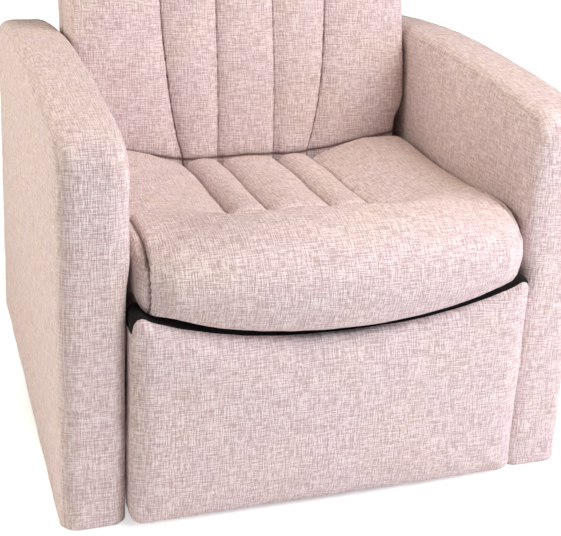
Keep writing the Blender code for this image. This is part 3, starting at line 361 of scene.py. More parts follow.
@dataclass(frozen=True)
class Cambric:
    """Thin black non-woven lining under the seat and behind the panel, also laid on the panel's upper edge as
    painted shade: dull, with faint pressed dimples.
    """

    colour: str = "#141313"
    lint: str = "#2b2928"
    dimple: float = 2.2 * MM
    relief: float = 0.2 * MM
    relief_share: float = 0.5

    def material(self) -> Material:
        """Make the lining material, also used as painted shade.

        Returns:
            The material.
        """
        work = Shading("black_cambric_and_painted_shade", {"Roughness": 0.95, "Specular IOR Level": 0.15})
        dimples = work.node("TexVoronoi", {"Vector": work.place, "Scale": 1 / self.dimple}, "Distance")
        tone = work.mix(dimples, self.colour, self.lint)
        return work.finish(tone, dimples, self.relief, self.relief_share)


@dataclass(frozen=True)
class StampedSteel:
    """Cold-rolled steel strip or tube: mill streaks from front to rear, clouded by its coating."""

    name: str
    colour: str
    cloud: str
    metallic: float
    roughness: float
    polish: float = 0.10
    scour: float = 0.15
    streak_length: float = 90 * MM
    streak_width: float = 1.2 * MM
    cloud_size: float = 9 * MM
    relief: float = 0.06 * MM
    relief_share: float = 0.5

    def material(self) -> Material:
        """Make the metal.

        Returns:
            The material, with streaked roughness and clouded colour.
        """
        work = Shading(self.name, {"Metallic": self.metallic})
        scale = (1 / self.streak_width, 1 / self.streak_length, 1 / self.streak_width)
        drawn_out = work.node("Mapping", {"Vector": work.place, "Scale": scale})
        streaks = work.node("TexNoise", {"Vector": drawn_out, "Scale": 1.0, "Detail": 3.0})
        clouds = work.node("TexVoronoi", {"Vector": work.place, "Scale": 1 / self.cloud_size}, "Distance")
        tone = work.mix(clouds, self.colour, self.cloud)
        worn = (self.roughness - self.polish, self.roughness + self.scour)
        work.link("Roughness", work.span(streaks, (0.0, 1.0), worn))
        return work.finish(tone, streaks, self.relief, self.relief_share)


@dataclass(frozen=True)
class RawPlywood:
    """Unfinished birch plywood and hardwood: long pale grain with darker glue lines on the edges."""

    early: str = "#c9a678"
    late: str = "#a27c4e"
    late_span: Span = (0.35, 0.95)
    grain_length: float = 120 * MM
    grain_width: float = 3.5 * MM
    veneer: float = 2.4 * MM
    veneer_waver: float = 0.3
    veneer_share: float = 0.25
    relief: float = 0.3 * MM
    relief_share: float = 0.4

    def material(self) -> Material:
        """Make the wood.

        Returns:
            The material.
        """
        work = Shading("raw_plywood", {"Roughness": 0.7})
        scale = (1 / self.grain_length, 1 / self.grain_width, 1 / self.grain_width)
        drawn_out = work.node("Mapping", {"Vector": work.place, "Scale": scale})
        grain = work.node("TexNoise", {"Vector": drawn_out, "Scale": 1.0, "Detail": 5.0, "Distortion": 0.4})
        plies = work.bands(self.veneer, self.veneer_waver)
        mixed = work.node("Math", {0: plies, 1: self.veneer_share, 2: grain}, operation="MULTIPLY_ADD")
        tone = work.mix(work.span(mixed, self.late_span), self.early, self.late)
        return work.finish(tone, grain, self.relief, self.relief_share)


@dataclass(frozen=True)
class ElasticWebbing:
    """Black woven elastic strap: ribs along it with a paler thread between."""

    colour: str = "#1b1b1d"
    thread: str = "#4a4a4d"
    rib: float = 2.6 * MM
    waver: float = 0.2
    relief: float = 0.4 * MM

    def material(self) -> Material:
        """Make the strap material.

        Returns:
            The material.
        """
        work = Shading("elastic_webbing", {"Roughness": 0.85})
        ribs = work.bands(self.rib, self.waver)
        return work.finish(work.mix(ribs, self.colour, self.thread), ribs, self.relief)


@dataclass(frozen=True)
class MouldedPlastic:
    """Injection-moulded polyethylene glide: spark-eroded grain, scuffed grey in places."""

    colour: str = "#17171a"
    scuff: str = "#3a3a3c"
    grit: float = 1.4 * MM
    relief: float = 0.15 * MM

    def material(self) -> Material:
        """Make the plastic.

        Returns:
            The material.
        """
        work = Shading("moulded_plastic", {"Roughness": 0.5})
        grit = work.node("TexNoise", {"Vector": work.place, "Scale": 1 / self.grit, "Detail": 2.0})
        return work.finish(work.mix(grit, self.colour, self.scuff), grit, self.relief)


@dataclass
class Wardrobe:
    """Every finish of the chair, made once."""

    weave: Material = field(init=False)
    # Black lining, real under the seat and behind the panel, and painted shade on the panel's upper edge.
    lining: Material = field(init=False)
    by_slot: dict[Slot, Material] = field(init=False)

    def __post_init__(self) -> None:
        """Make the materials."""
        self.weave = LinenWeave().material()
        self.lining = Cambric().material()
        zinc = StampedSteel("zinc_plated_steel", "#b4b6b8", "#8f9296", metallic=1.0, roughness=0.38)
        black = StampedSteel("black_coated_tube", "#1c1c1e", "#27272a", metallic=0.3, roughness=0.42)
        spring = StampedSteel("oiled_spring_wire", "#6a6c70", "#4d4f53", metallic=1.0, roughness=0.4)
        self.by_slot = {
            Slot.WEAVE: self.weave,
            Slot.PLYWOOD: RawPlywood().material(),
            Slot.ZINC: zinc.material(),
            Slot.BLACK_STEEL: black.material(),
            Slot.SPRING: spring.material(),
            Slot.WEBBING: ElasticWebbing().material(),
            Slot.PLASTIC: MouldedPlastic().material(),
        }

    def dress_solids(self) -> None:
        """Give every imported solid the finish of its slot."""
        for part in frame["record"]["subparts"]:
            solid = frame["nodes"][part["node"]]
            solid.data.materials.clear()
            solid.data.materials.append(self.by_slot[Slot(part["material_slot"])])


def activate(piece: Object) -> None:
    """Make one object the only selected and active one."""
    bpy.ops.object.select_all(action="DESELECT")
    piece.select_set(True)
    bpy.context.view_layer.objects.active = piece


def apply_modifier(piece: Object, kind: str, settings: dict[str, Any]) -> None:
    """Add a modifier and apply it.

    Args:
        piece: The object.
        kind: Blender's name of the modifier type.
        settings: Attributes to set on the modifier.
    """
    activate(piece)
    modifier = piece.modifiers.new(kind.lower(), kind)
    for key, value in settings.items():
        setattr(modifier, key, value)
    bpy.ops.object.modifier_apply(modifier=modifier.name)


def rows(items: bpy.types.bpy_prop_collection, what: str) -> Array:
    """One vector of each item of a mesh, such as a face's centre, one row each."""
    flat = np.empty(len(items) * 3, dtype=np.float32)
    items.foreach_get(what, flat)
    return flat.reshape(-1, 3).astype(float)


def point_array(mesh: Mesh) -> Array:
    """Vertex positions of a mesh, one row each."""
    return rows(mesh.vertices, "co")


def normal_array(mesh: Mesh) -> Array:
    """Vertex normals of a mesh, one row each."""
    return rows(mesh.vertex_normals, "vector")


def move_points(mesh: Mesh, points: Array) -> None:
    """Write vertex positions back to a mesh."""
    mesh.vertices.foreach_set("co", points.astype(np.float32).ravel())
    mesh.update()


def set_attribute(mesh: Mesh, name: str, values: Array) -> None:
    """Store one number on each vertex of a mesh."""
    stored = mesh.attributes.new(name, "FLOAT", "POINT")
    stored.data.foreach_set("value", values.astype(np.float32))


def follow(flat: Array, path: Array) -> tuple[Array, Array]:
    """Distance of flat points from a path, and their place along it.

    Args:
        flat: Points, one row each.
        path: Corners of the path, one row each.

    Returns:
        Distances, and lengths along the path.
    """
    best = np.full(len(flat), np.inf)
    along = np.zeros(len(flat))
    walked = 0.0
    for start, stop in zip(path, path[1:]):
        run = stop - start
        length = float(np.hypot(*run))
        share = np.clip(((flat - start) @ run) / length ** 2, 0.0, 1.0)
        away = np.hypot(*(flat - start - share[:, None] * run).T)
        nearer = away < best
        best = np.where(nearer, away, best)
        along = np.where(nearer, walked + share * length, along)
        walked += length
    return best, along


def side_outline(points: Array, grid: float = 2 * MM) -> Array:
    """Convex outline of points seen from the side.

    Args:
        points: Positions, one row each.
        grid: Step to which the positions are rounded.

    Returns:
        Corners of the outline in Y and Z, anticlockwise from the rear bottom, first one repeated.
    """
    flat = np.unique(np.round(points[:, 1:] / grid), axis=0) * grid
    flat = flat[np.lexsort((flat[:, 1], -flat[:, 0]))]
    corners: list[Array] = []
    for half in (flat, flat[::-1]):
        start = len(corners)
        for corner in half:
            while len(corners) - start >= 2:
                first = corners[-1] - corners[-2]
                second = corner - corners[-1]
                if first[0] * second[1] - first[1] * second[0] < 0:
                    break
                corners.pop()
            corners.append(corner)
        corners.pop()
    return np.array([*corners, corners[0]])


@dataclass(frozen=True)
class Stitching:
    """How a seam sits in the padding: its depth, half width, share of painted crease shade, puckers and mesh
    refinements.
    """

    depth: float
    half_width: float
    # Share of painted shade in the crease, standing in for the shadow in the seam's groove.
    shade: float
    pucker: float = 0.08
    spacing: float = 11 * MM
    levels: int = 2


@dataclass(frozen=True)
class Seam:
    """A stitched line pressed into a padded face, drawn as a path on a flat chart of that face."""

    path: Path
    u_axis: Place
    v_axis: Place
    facing: Place
    sewn: Stitching

    def measure(self, points: Array) -> tuple[Array, Array]:
        """Distance of points from the seam on its chart, and their place along it."""
        flat = np.stack([points @ np.array(self.u_axis), points @ np.array(self.v_axis)], axis=1)
        return follow(flat, np.array(self.path))

    def near(self, points: Array, normals: Array, reach: float) -> Array:
        """True for points within reach of the seam on the face that it is sewn into."""
        away, _ = self.measure(points)
        return (away < reach) & (normals @ np.array(self.facing) > SEAM_FACING)

    def press(self, points: Array, normals: Array) -> tuple[Array, Array]:
        """How far the seam pulls each point in, and how much painted shade darkens its crease there.

        Args:
            points: Positions, one row each.
            normals: Normals, one row each.

        Returns:
            Depths along the normals, and shares of painted crease shade.
        """
        away, along = self.measure(points)
        on_face = ramp(normals @ np.array(self.facing), *SEAM_FADE)
        stitches = 1 + self.sewn.pucker * np.sin(along * math.tau / self.sewn.spacing)
        groove = np.exp(-((away / self.sewn.half_width) ** 2)) * on_face
        # Painted shade: a narrow dark band down the middle of the groove.
        crease = np.exp(-((2 * away / self.sewn.half_width) ** 2)) * on_face
        return self.sewn.depth * groove * stitches, self.sewn.shade * crease


@dataclass
class Padding:
    """A padded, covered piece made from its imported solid.

    A span, here and in its kinds, runs from where a change of shape starts to where it is full.
    """

    node: str
    name: str
    body: str
    fill: float
    voxel: float = 5 * MM
    merging: float = 0.1 * MM
    smoothing: int = 8
    smooth_factors: Span = (0.5, -0.52)
    widen: float = 0.0
    widen_span: Span = (0.3, 0.9)
    swell: float = 0.0
    pressure: float = 4.0
    swell_quality: int = 3
    swell_frames: int = 20
    unevenness: float = 1.6 * MM
    uneven_size: float = 0.09
    low: Vector = field(init=False)
    high: Vector = field(init=False)

    def __post_init__(self) -> None:
        """Read the solid's box."""
        self.low, self.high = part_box(self.node)

    def seams(self) -> list[Seam]:
        """Stitched lines of the cover."""
        return []

    def held(self, points: Array, normals: Array) -> Array:
        """True for points that the frame holds while the padding swells."""
        return normals[:, 2] < -MOSTLY

    def shape(self, points: Array, normals: Array) -> Array:
        """Points after the cover's thickness is added to the sides."""
        shaped = points.copy()
        beside = np.sign(normals[:, 0]) * ramp(np.abs(normals[:, 0]), *self.widen_span)
        shaped[:, 0] += self.widen * beside
        return shaped

    def linings(self) -> list[Planes]:
        """Planes that bound each lining: a point on each, and the direction in which the lining lies."""
        return []

    def line(self, piece: Object) -> None:
        """Cut the cover along the linings' edges and give the linings their own material.

        Args:
            piece: The object to line.
        """
        linings = self.linings()
        activate(piece)
        bpy.ops.object.mode_set(mode="EDIT")
        for edge, towards in chain.from_iterable(linings):
            bpy.ops.mesh.select_all(action="SELECT")
            bpy.ops.mesh.bisect(plane_co=edge, plane_no=towards)
        bpy.ops.object.mode_set(mode="OBJECT")
        centres = rows(piece.data.polygons, "center")
        lined = np.zeros(len(centres), dtype=bool)
        for planes in linings:
            inside = [(centres - np.array(edge)) @ np.array(towards) > 0 for edge, towards in planes]
            lined |= np.all(inside, axis=0)
        piece.data.polygons.foreach_set("material_index", lined.astype(np.int32))
        piece.data.update()

    def blank(self) -> Object:
        """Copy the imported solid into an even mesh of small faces.

        Returns:
            The new object.
        """
        piece = bpy.data.objects.new(self.name, frame["nodes"][self.node].data.copy())
        bpy.context.scene.collection.objects.link(piece)
        activate(piece)
        bpy.ops.object.mode_set(mode="EDIT")
        bpy.ops.mesh.select_all(action="SELECT")
        bpy.ops.mesh.remove_doubles(threshold=self.merging)
        bpy.ops.mesh.normals_make_consistent(inside=False)
        bpy.ops.object.mode_set(mode="OBJECT")
        piece.data.remesh_voxel_size = self.voxel
        bpy.ops.object.voxel_remesh()
        for _ in range(self.smoothing):
            for factor in self.smooth_factors:
                apply_modifier(piece, "SMOOTH", {"factor": factor, "iterations": 1})
        return piece

    def inflate(self, piece: Object) -> None:
        """Swell the cover with a pressure simulation, held along its seams and frame.

        Args:
            piece: The object to swell.
        """
        rest = point_array(piece.data)
        normals = normal_array(piece.data)
        held = self.held(rest, normals)
        for seam in self.seams():
            held |= seam.near(rest, normals, self.voxel)
        group = piece.vertex_groups.new(name="held")
        group.add(np.flatnonzero(held).tolist(), 1.0, "REPLACE")
        cloth = piece.modifiers.new("cover", "CLOTH")
        cloth.settings.vertex_group_mass = group.name
        cloth.settings.use_pressure = True
        cloth.settings.uniform_pressure_force = self.pressure
        cloth.settings.effector_weights.gravity = 0.0
        cloth.settings.quality = self.swell_quality
        cloth.point_cache.frame_end = self.swell_frames
        for number in range(1, self.swell_frames + 1):
            bpy.context.scene.frame_set(number)
        graph = bpy.context.evaluated_depsgraph_get()
        swollen = point_array(piece.evaluated_get(graph).data)
        piece.modifiers.remove(cloth)
        piece.vertex_groups.remove(group)
        bpy.context.scene.frame_set(1)
        moved = swollen - rest
        length = np.linalg.norm(moved, axis=1, keepdims=True)
        capped = moved * np.minimum(1.0, self.swell / np.maximum(length, TINY))
        move_points(piece.data, rest + capped)
        apply_modifier(piece, "SMOOTH", {"factor": 0.5, "iterations": 4})

    def ease_surface(self, piece: Object) -> None:
        """Give the cover the slight hollows of hand-laid wadding.

        Args:
            piece: The object to shape.
        """
        clouds = bpy.data.textures.new(self.name + "_wadding", "CLOUDS")
        clouds.noise_scale = self.uneven_size
        strength = 2 * self.unevenness
        settings = {"texture": clouds, "texture_coords": "LOCAL", "strength": strength, "mid_level": 0.5}
        apply_modifier(piece, "DISPLACE", settings)
        bpy.data.textures.remove(clouds)

    def sew(self, piece: Object) -> None:
        """Refine the mesh along the seams, press them in and store the painted shade of their creases.

        Args:
            piece: The object to sew.
        """
        seams = self.seams()
        if not seams:
            return
        for level, reach in enumerate(REFINE_REACHES, start=1):
            mesh = piece.data
            centres = rows(mesh.polygons, "center")
            normals = rows(mesh.polygons, "normal")
            chosen = np.zeros(len(centres), dtype=bool)
            for seam in seams:
                if seam.sewn.levels >= level:
                    chosen |= seam.near(centres, normals, reach * seam.sewn.half_width)
            if not chosen.any():
                break
            activate(piece)
            bpy.ops.object.mode_set(mode="EDIT")
            bpy.ops.mesh.select_mode(type="FACE")
            bpy.ops.mesh.select_all(action="DESELECT")
            bpy.ops.object.mode_set(mode="OBJECT")
            mesh.polygons.foreach_set("select", chosen)
            bpy.ops.object.mode_set(mode="EDIT")
            bpy.ops.mesh.subdivide(number_cuts=1)
            bpy.ops.object.mode_set(mode="OBJECT")
        points = point_array(piece.data)
        normals = normal_array(piece.data)
        depth = np.zeros(len(points))
        crease = np.zeros(len(points))
        for seam in seams:
            pressed, shaded = seam.press(points, normals)
            depth = np.maximum(depth, pressed)
            crease = np.maximum(crease, shaded)
        move_points(piece.data, points - normals * depth[:, None])
        # Store the painted crease shade on each vertex for the cloth material.
        set_attribute(piece.data, CREASE_SHADE_ATTRIBUTE, crease)

    def build(self, wardrobe: Wardrobe) -> Object:
        """Make the piece, dress it and set it on its body.

        Args:
            wardrobe: The chair's finishes.

        Returns:
            The finished object.
        """
        piece = self.blank()
        move_points(piece.data, self.shape(point_array(piece.data), normal_array(piece.data)))
        if self.swell:
            self.inflate(piece)
        self.ease_surface(piece)
        points = point_array(piece.data)
        _, run = follow(points[:, 1:], side_outline(points))
        set_attribute(piece.data, CLOTH_RUN, run)
        self.sew(piece)
        piece.data.shade_smooth()
        piece.data.materials.clear()
        piece.data.materials.append(wardrobe.weave)
        if self.linings():
            # Black lining: real underneath and behind, painted shade on the footrest's upper edge.
            piece.data.materials.append(wardrobe.lining)
            self.line(piece)
        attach(piece, self.body)
        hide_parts(self.node)
        LOG.info("%s: %d faces", self.name, len(piece.data.polygons))
        return piece


@dataclass
class SeatCushion(Padding):
    """Seat with a waterfall front, four sewn channels and a boxing seam round each front corner."""

    inner_seam: float = 0.052
    outer_seam: float = 0.117
    cross_seam_back: float = 0.250
    cross_seam_forward: float = 0.018
    fold_end: Span = (0.172, -0.006)
    # The shade share of each seam below is painted shade darkening its crease.
    channel: Stitching = Stitching(2.5 * MM, 3.0 * MM, 0.60)
    cross: Stitching = Stitching(3.0 * MM, 5.0 * MM, 0.90)
    boxing: Stitching = Stitching(4.0 * MM, 2.6 * MM, 0.85, pucker=0.35, levels=3)
    # Dent in the top by each arm, darkened with painted shade where the arm shades the seat.
    tuck: Stitching = Stitching(8.0 * MM, 6.0 * MM, 0.75)
    boxing_front: Path = (
        (0.288, 0.462), (0.287, 0.440), (0.285, 0.400), (0.283, 0.350), (0.282, 0.300)
    )
    boxing_top: Path = ((0.288, -0.390), (0.286, -0.330), (0.284, -0.250))
    boxing_fall: float = 9 * MM
    boxing_span: Span = (-0.30, -0.36)
    channel_rise: float = 9 * MM
    channels_across: Span = (0.19, 0.12)
    lift_ahead: float = 0.075
    lift_end: float = 0.15
    roll_start: float = 0.03
    roll_top: Span = (0.05, 0.09)
    roll_hollow: float = 16 * MM
    hollow_front: Span = (-0.135, -0.075)
    hollow_rear: float = 0.045
    corner_drop: float = 12 * MM
    corner_across: Span = (0.245, 0.290)
    corner_back: Span = (0.095, 0.060)
    corner_up: Span = (0.12, 0.06)
    rear_rise: float = 9 * MM
    rear_span: Span = (0.20, 0.03)
    rear_hold: float = 0.02
    rise_up: Span = (0.03, 0.08)
    lining_height: float = 5 * MM

    def seams(self) -> list[Seam]:
        """Channel seams, the cross seam with its fold, and the boxing seams with the tucks above them, all
        darkened with painted crease shade.
        """
        across, back, up = Axis.ACROSS.value, Axis.BACKWARDS.value, Axis.UPWARDS.value
        seam_y = self.low.y + self.cross_seam_back - self.cross_seam_forward
        made = []
        for x in (-self.outer_seam, -self.inner_seam, self.inner_seam, self.outer_seam):
            made.append(Seam(((x, seam_y), (x, self.high.y)), across, back, up, self.channel))
        fold = (self.fold_end[0], seam_y + self.fold_end[1])
        cross = ((-self.outer_seam, seam_y), (self.outer_seam, seam_y), fold)
        made.append(Seam(cross, across, back, up, self.cross))
        for side in (-1.0, 1.0):
            front = tuple((side * x, z) for x, z in self.boxing_front)
            made.append(Seam(front, across, up, Axis.FORWARDS.value, self.boxing))
            top = tuple((side * x, y) for x, y in self.boxing_top)
            made.append(Seam(top, across, back, up, self.tuck))
        return made

    def shape(self, points: Array, normals: Array) -> Array:
        """Move the channels forward, the boxing back and the lower corners down, and raise the rear."""
        shaped = super().shape(points, normals)
        across = np.abs(points[:, 0])
        up = points[:, 2] - self.low.z
        back = points[:, 1] - self.low.y
        to_rear = self.high.y - points[:, 1]
        from_seam = back - self.cross_seam_back
        behind_seam = self.high.y - self.low.y - self.cross_seam_back
        before = ramp(back, self.roll_start, self.cross_seam_back)
        behind = ramp(to_rear, self.rear_hold, behind_seam)
        shaped[:, 1] -= self.cross_seam_forward * before * behind * ramp(up, *self.roll_top)
        seam_x = np.interp(points[:, 2], *zip(*sorted((z, x) for x, z in self.boxing_front)))
        boxed = np.clip((across - seam_x) / (self.high.x - seam_x), 0.0, 1.0)
        shaped[:, 1] += self.boxing_fall * boxed * ramp(points[:, 1], *self.boxing_span)
        corner = ramp(across, *self.corner_across) * ramp(back, *self.corner_back)
        shaped[:, 2] -= self.corner_drop * corner * ramp(up, *self.corner_up)
        lifted = ramp(from_seam, -self.lift_ahead, 0.0) * ramp(to_rear, 0.0, self.lift_end)
        hollowed = ramp(from_seam, *self.hollow_front) * ramp(from_seam, 0.0, -self.hollow_rear)
        channelled = self.channel_rise * lifted - self.roll_hollow * hollowed
        rise = self.rear_rise * ramp(to_rear, *self.rear_span)
        rise += ramp(across, *self.channels_across) * channelled
        shaped[:, 2] += rise * ramp(up, *self.rise_up)
        return shaped

    def linings(self) -> list[Planes]:
        """The flat underside."""
        edge = Vector((0.0, 0.0, self.low.z + self.lining_height))
        return [[(edge, -Vector(Axis.UPWARDS.value))]]

    def held(self, points: Array, normals: Array) -> Array:
        """The underside, the rear and the sides beside the arms."""
        rear = points[:, 1] > self.high.y - self.rear_hold
        return (normals[:, 2] < -LOOSELY) | rear | (np.abs(normals[:, 0]) > SQUARELY)


@dataclass
class BackCushion(Padding):
    """Back with four channel seams, the outer two flaring out, below a head roll."""

    inner_seam: float = 0.052
    outer_seam: float = 0.114
    flare: float = 0.041
    flare_start: float = 0.034
    flare_height: float = 0.130
    lean: float = math.radians(9.0)
    seam_bottom: float = -0.030
    seam_top: float = 0.500
    # The shade share of each seam here is painted shade darkening its crease.
    inner: Stitching = Stitching(1.4 * MM, 1.5 * MM, 0.75, levels=3)
    outer: Stitching = Stitching(2.2 * MM, 2.0 * MM, 1.00, levels=3)
    # Shallow low seam with a wide dark band: painted contact shadow along the line where the seat's top meets the
    # back.
    foot: Stitching = Stitching(1.0 * MM, 6.0 * MM, 0.95)
    contact_shadow_line: Path = (
        (-0.300, 0.084), (-0.210, 0.061), (-0.158, 0.049), (-0.120, 0.041), (-0.050, 0.041), (0.000, 0.045),
        (0.050, 0.042), (0.100, 0.043), (0.158, 0.050), (0.200, 0.059), (0.268, 0.070), (0.300, 0.074),
    )
    corner_top: float = 0.145
    corner_rise: float = 0.045
    corner_in: float = 0.014
    corner_from: float = 0.6
    steps: int = 14

    def hinge(self) -> Vector:
        """Place of the recline hinge."""
        return Vector(next(j["pos_m"] for j in frame["joints"] if j["name"] == "back_recline"))

    def upright(self) -> Vector:
        """Direction up the leaning back."""
        return Vector((0.0, math.sin(self.lean), math.cos(self.lean)))

    def front(self) -> Vector:
        """Direction out of the leaning back's face."""
        return Vector((0.0, -math.cos(self.lean), math.sin(self.lean)))

    def outer_x(self, height: float) -> float:
        """Distance of the outer seam from the middle at a height above the hinge."""
        risen = max(0.0, height - self.flare_start)
        return self.outer_seam + self.flare * (1 - math.exp(-risen / self.flare_height))

    def seams(self) -> list[Seam]:
        """Straight inner seams, flaring outer seams, the cross seam under the head roll and a low seam whose dark
        band is painted contact shadow where the seat meets the back.
        """
        base = self.hinge().dot(self.upright())
        heights = np.linspace(self.seam_bottom, self.seam_top, self.steps + 1).tolist()
        chart = (Axis.ACROSS.value, tuple(self.upright()), tuple(self.front()))
        made = []
        for side in (-1, 1):
            inner = tuple((side * self.inner_seam, base + h) for h in (heights[0], heights[-1]))
            outer = tuple((side * self.outer_x(h), base + h) for h in heights)
            made.append(Seam(inner, *chart, self.inner))
            made.append(Seam(outer, *chart, self.outer))
        reach = self.outer_x(self.seam_top)
        cross = ((-reach, base + self.seam_top), (reach, base + self.seam_top))
        made.append(Seam(cross, *chart, self.outer))
        made.append(Seam(tuple((x, base + height) for x, height in self.contact_shadow_line), *chart, self.foot))
        return made

    def held(self, points: Array, normals: Array) -> Array:
        """The rear, the sides between the arms and the tucked lower end."""
        height = (points - np.array(self.hinge())) @ np.array(self.upright())
        rear = normals @ np.array(self.front()) < -LOOSELY
        return rear | (height < 0.0) | (np.abs(normals[:, 0]) > SQUARELY)

    def shape(self, points: Array, normals: Array) -> Array:
        """Draw the lower corners in, as a sewn corner pulls."""
        height = (points - np.array(self.hinge())) @ np.array(self.upright())
        low = np.clip((self.corner_top - height) / self.corner_rise, 0.0, 1.0)
        outer = ramp(np.abs(points[:, 0]), self.corner_from * self.high.x, self.high.x)
        shaped = super().shape(points, normals)
        shaped[:, 0] -= np.sign(points[:, 0]) * self.corner_in * low ** 2 * outer
        return shaped


@dataclass
class FootrestPad(Padding):
    """Scooped footrest panel, padded in front and lined behind, with black lining on its upper edge as painted
    shade under the seat.
    """

    wrap: float = 22 * MM
    turn_in: float = 10 * MM
    side_wrap: float = 9 * MM
    painted_shade_corner_top: float = 0.316
    upper_slant: float = 0.2
    hem: float = 5 * MM
    hem_span: Span = (0.06, 0.01)
    middle_top: float = 0.287
    side_rise: float = 0.056
    scoop_power: float = 2.5
    middle_drop: float = 2 * MM
    side_lift: float = 3 * MM
    corner_lift: float = 10 * MM
    corner_across: Span = (0.278, 0.300)
    below_edge: Span = (0.035, 0.012)

    def held(self, points: Array, normals: Array) -> Array:
        """Everything but the front face."""
        return normals[:, 1] > -MOSTLY

    def shape(self, points: Array, normals: Array) -> Array:
        """Let the lower edge down and fill the upper corners."""
        shaped = super().shape(points, normals)
        shaped[:, 2] -= self.hem * ramp(points[:, 2] - self.low.z, *self.hem_span)
        across = np.abs(points[:, 0])
        out = np.clip(across / self.high.x, 0.0, 1.0)
        edge = self.middle_top + self.side_rise * out ** self.scoop_power
        lift = (self.middle_drop + self.side_lift) * out ** 2 - self.middle_drop
        lift += self.corner_lift * ramp(across, *self.corner_across)
        shaped[:, 2] += lift * ramp(edge - points[:, 2], *self.below_edge)
        return shaped

    def linings(self) -> list[Planes]:
        """The rear, where the cover is stapled to the board, and, as painted shade in the gap under the seat, the
        upper edge and the tops of its corners.
        """
        rear = (Vector((0.0, self.high.y - self.turn_in, 0.0)), Vector(Axis.BACKWARDS.value))
        # The upper edge and corner tops are lined black as painted shade of the gap under the seat.
        fold = Vector((0.0, self.low.y + self.wrap, self.middle_top))
        upper = (fold, Vector((0.0, 1.0, self.upper_slant)))
        reach = self.high.x - self.side_wrap
        sides = [(Vector((side * reach, 0.0, 0.0)), Vector((-side, 0.0, 0.0))) for side in (-1.0, 1.0)]
        corners = (Vector((0.0, 0.0, self.painted_shade_corner_top)), Vector(Axis.UPWARDS.value))
        return [[rear], [upper, *sides], [upper, corners]]


@dataclass
class SlabArm(Padding):
    """Upholstered slab arm, with the cover's lower rim hanging just clear of the floor."""

    rim: float = 16 * MM
    rim_fade: float = 6 * MM
    rim_span: Span = (30 * MM, 2 * MM)
    floor_gap: float = 2 * MM
    crown: float = 5 * MM
    crown_from: float = 0.25
    bulge: float = 5 * MM
    bulge_lower: Span = (0.35, 0.42)
    bulge_upper: Span = (0.60, 0.52)
    bulge_rear: Span = (0.06, -0.02)
    bulge_facing: Span = (0.2, 0.9)
    band_inset: float = 9 * MM
    # Faint seam; its small shade share is painted shade in the crease.
    band: Stitching = Stitching(0.8 * MM, 4.0 * MM, 0.12, pucker=0.3, spacing=16 * MM, levels=1)

    def seams(self) -> list[Seam]:
        """Seam on each side where the band over the front, top and rear meets the side panel."""
        mesh = frame["nodes"][self.node].data
        outline = side_outline(point_array(mesh))[:-1]
        ahead = np.roll(outline, -1, axis=0) - np.roll(outline, 1, axis=0)
        inwards = np.stack([ahead[:, 1], -ahead[:, 0]], axis=1)
        path = outline + self.band_inset * (inwards / np.linalg.norm(ahead, axis=1, keepdims=True))
        path = tuple(tuple(corner) for corner in path if corner[1] > self.low.z + 2 * self.band_inset)
        sides = (Axis.ACROSS.value, tuple(-value for value in Axis.ACROSS.value))
        return [Seam(path, Axis.BACKWARDS.value, Axis.UPWARDS.value, side, self.band) for side in sides]

    def shape(self, points: Array, normals: Array) -> Array:
        """Puff the top and the side beside the sitter, and let the rim down round the glides."""
        shaped = super().shape(points, normals)
        inwards = -math.copysign(1.0, self.low.x)
        beside = ramp(points[:, 2], *self.bulge_lower) * ramp(points[:, 2], *self.bulge_upper)
        beside *= ramp(points[:, 1], *self.bulge_rear)
        shaped[:, 0] += inwards * self.bulge * beside * ramp(inwards * normals[:, 0], *self.bulge_facing)
        shaped[:, 2] += self.crown * ramp(points[:, 2], self.low.z + self.crown_from, self.high.z)
        sides = (points[:, 0] - self.low.x, self.high.x - points[:, 0])
        ends = (points[:, 1] - self.low.y, self.high.y - points[:, 1])
        inset = np.min([*sides, *ends], axis=0)
        drop = (self.low.z - self.floor_gap) * ramp(inset, self.rim + self.rim_fade, self.rim)
        shaped[:, 2] -= drop * ramp(points[:, 2] - self.low.z, *self.rim_span)
        return shaped


@dataclass
class OutsideBack(Padding):
    """Tight rear cover of the back."""


@dataclass
class RearApron(Padding):
    """Covered panel between the arms at the rear."""


@dataclass
class Screws:
    """Hex washer-head screws that hold a pressed steel flange to wood, in one object for each body."""

    name: str
    body: str
    places: Planes
    washer_radius: float = 6.5 * MM
    washer_height: float = 1.0 * MM
    washer_sides: int = 24
    head_radius: float = 4.3 * MM
    head_height: float = 3.4 * MM
    head_sides: int = 6
    edge: float = 0.35 * MM

    def build(self, wardrobe: Wardrobe) -> Object:
        """Model every screw at its place.

        Args:
            wardrobe: The chair's finishes.

        Returns:
            The finished object.
        """
        bpy.ops.object.select_all(action="DESELECT")
        bpy.ops.object.add(type="MESH")
        piece = bpy.context.active_object
        piece.name = self.name
        bpy.ops.object.mode_set(mode="EDIT")
        washer = (self.washer_sides, self.washer_radius, self.washer_height)
        head = (self.head_sides, self.head_radius, self.head_height)
        for seat, facing in self.places:
            top = seat.copy()
            for sides, radius, height in (washer, head):
                bpy.ops.mesh.primitive_cylinder_add(
                    vertices=sides,
                    radius=radius,
                    depth=height,
                    location=top + facing * height / 2,
                    rotation=facing.to_track_quat("Z", "Y").to_euler(),
                )
                top += facing * height
        bpy.ops.object.mode_set(mode="OBJECT")
        apply_modifier(piece, "BEVEL", {"width": self.edge, "segments": 2, "limit_method": "ANGLE"})
        piece.data.materials.append(wardrobe.by_slot[Slot.ZINC])
        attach(piece, self.body)
        LOG.info("%s: %d screws", self.name, len(self.places))
        return piece


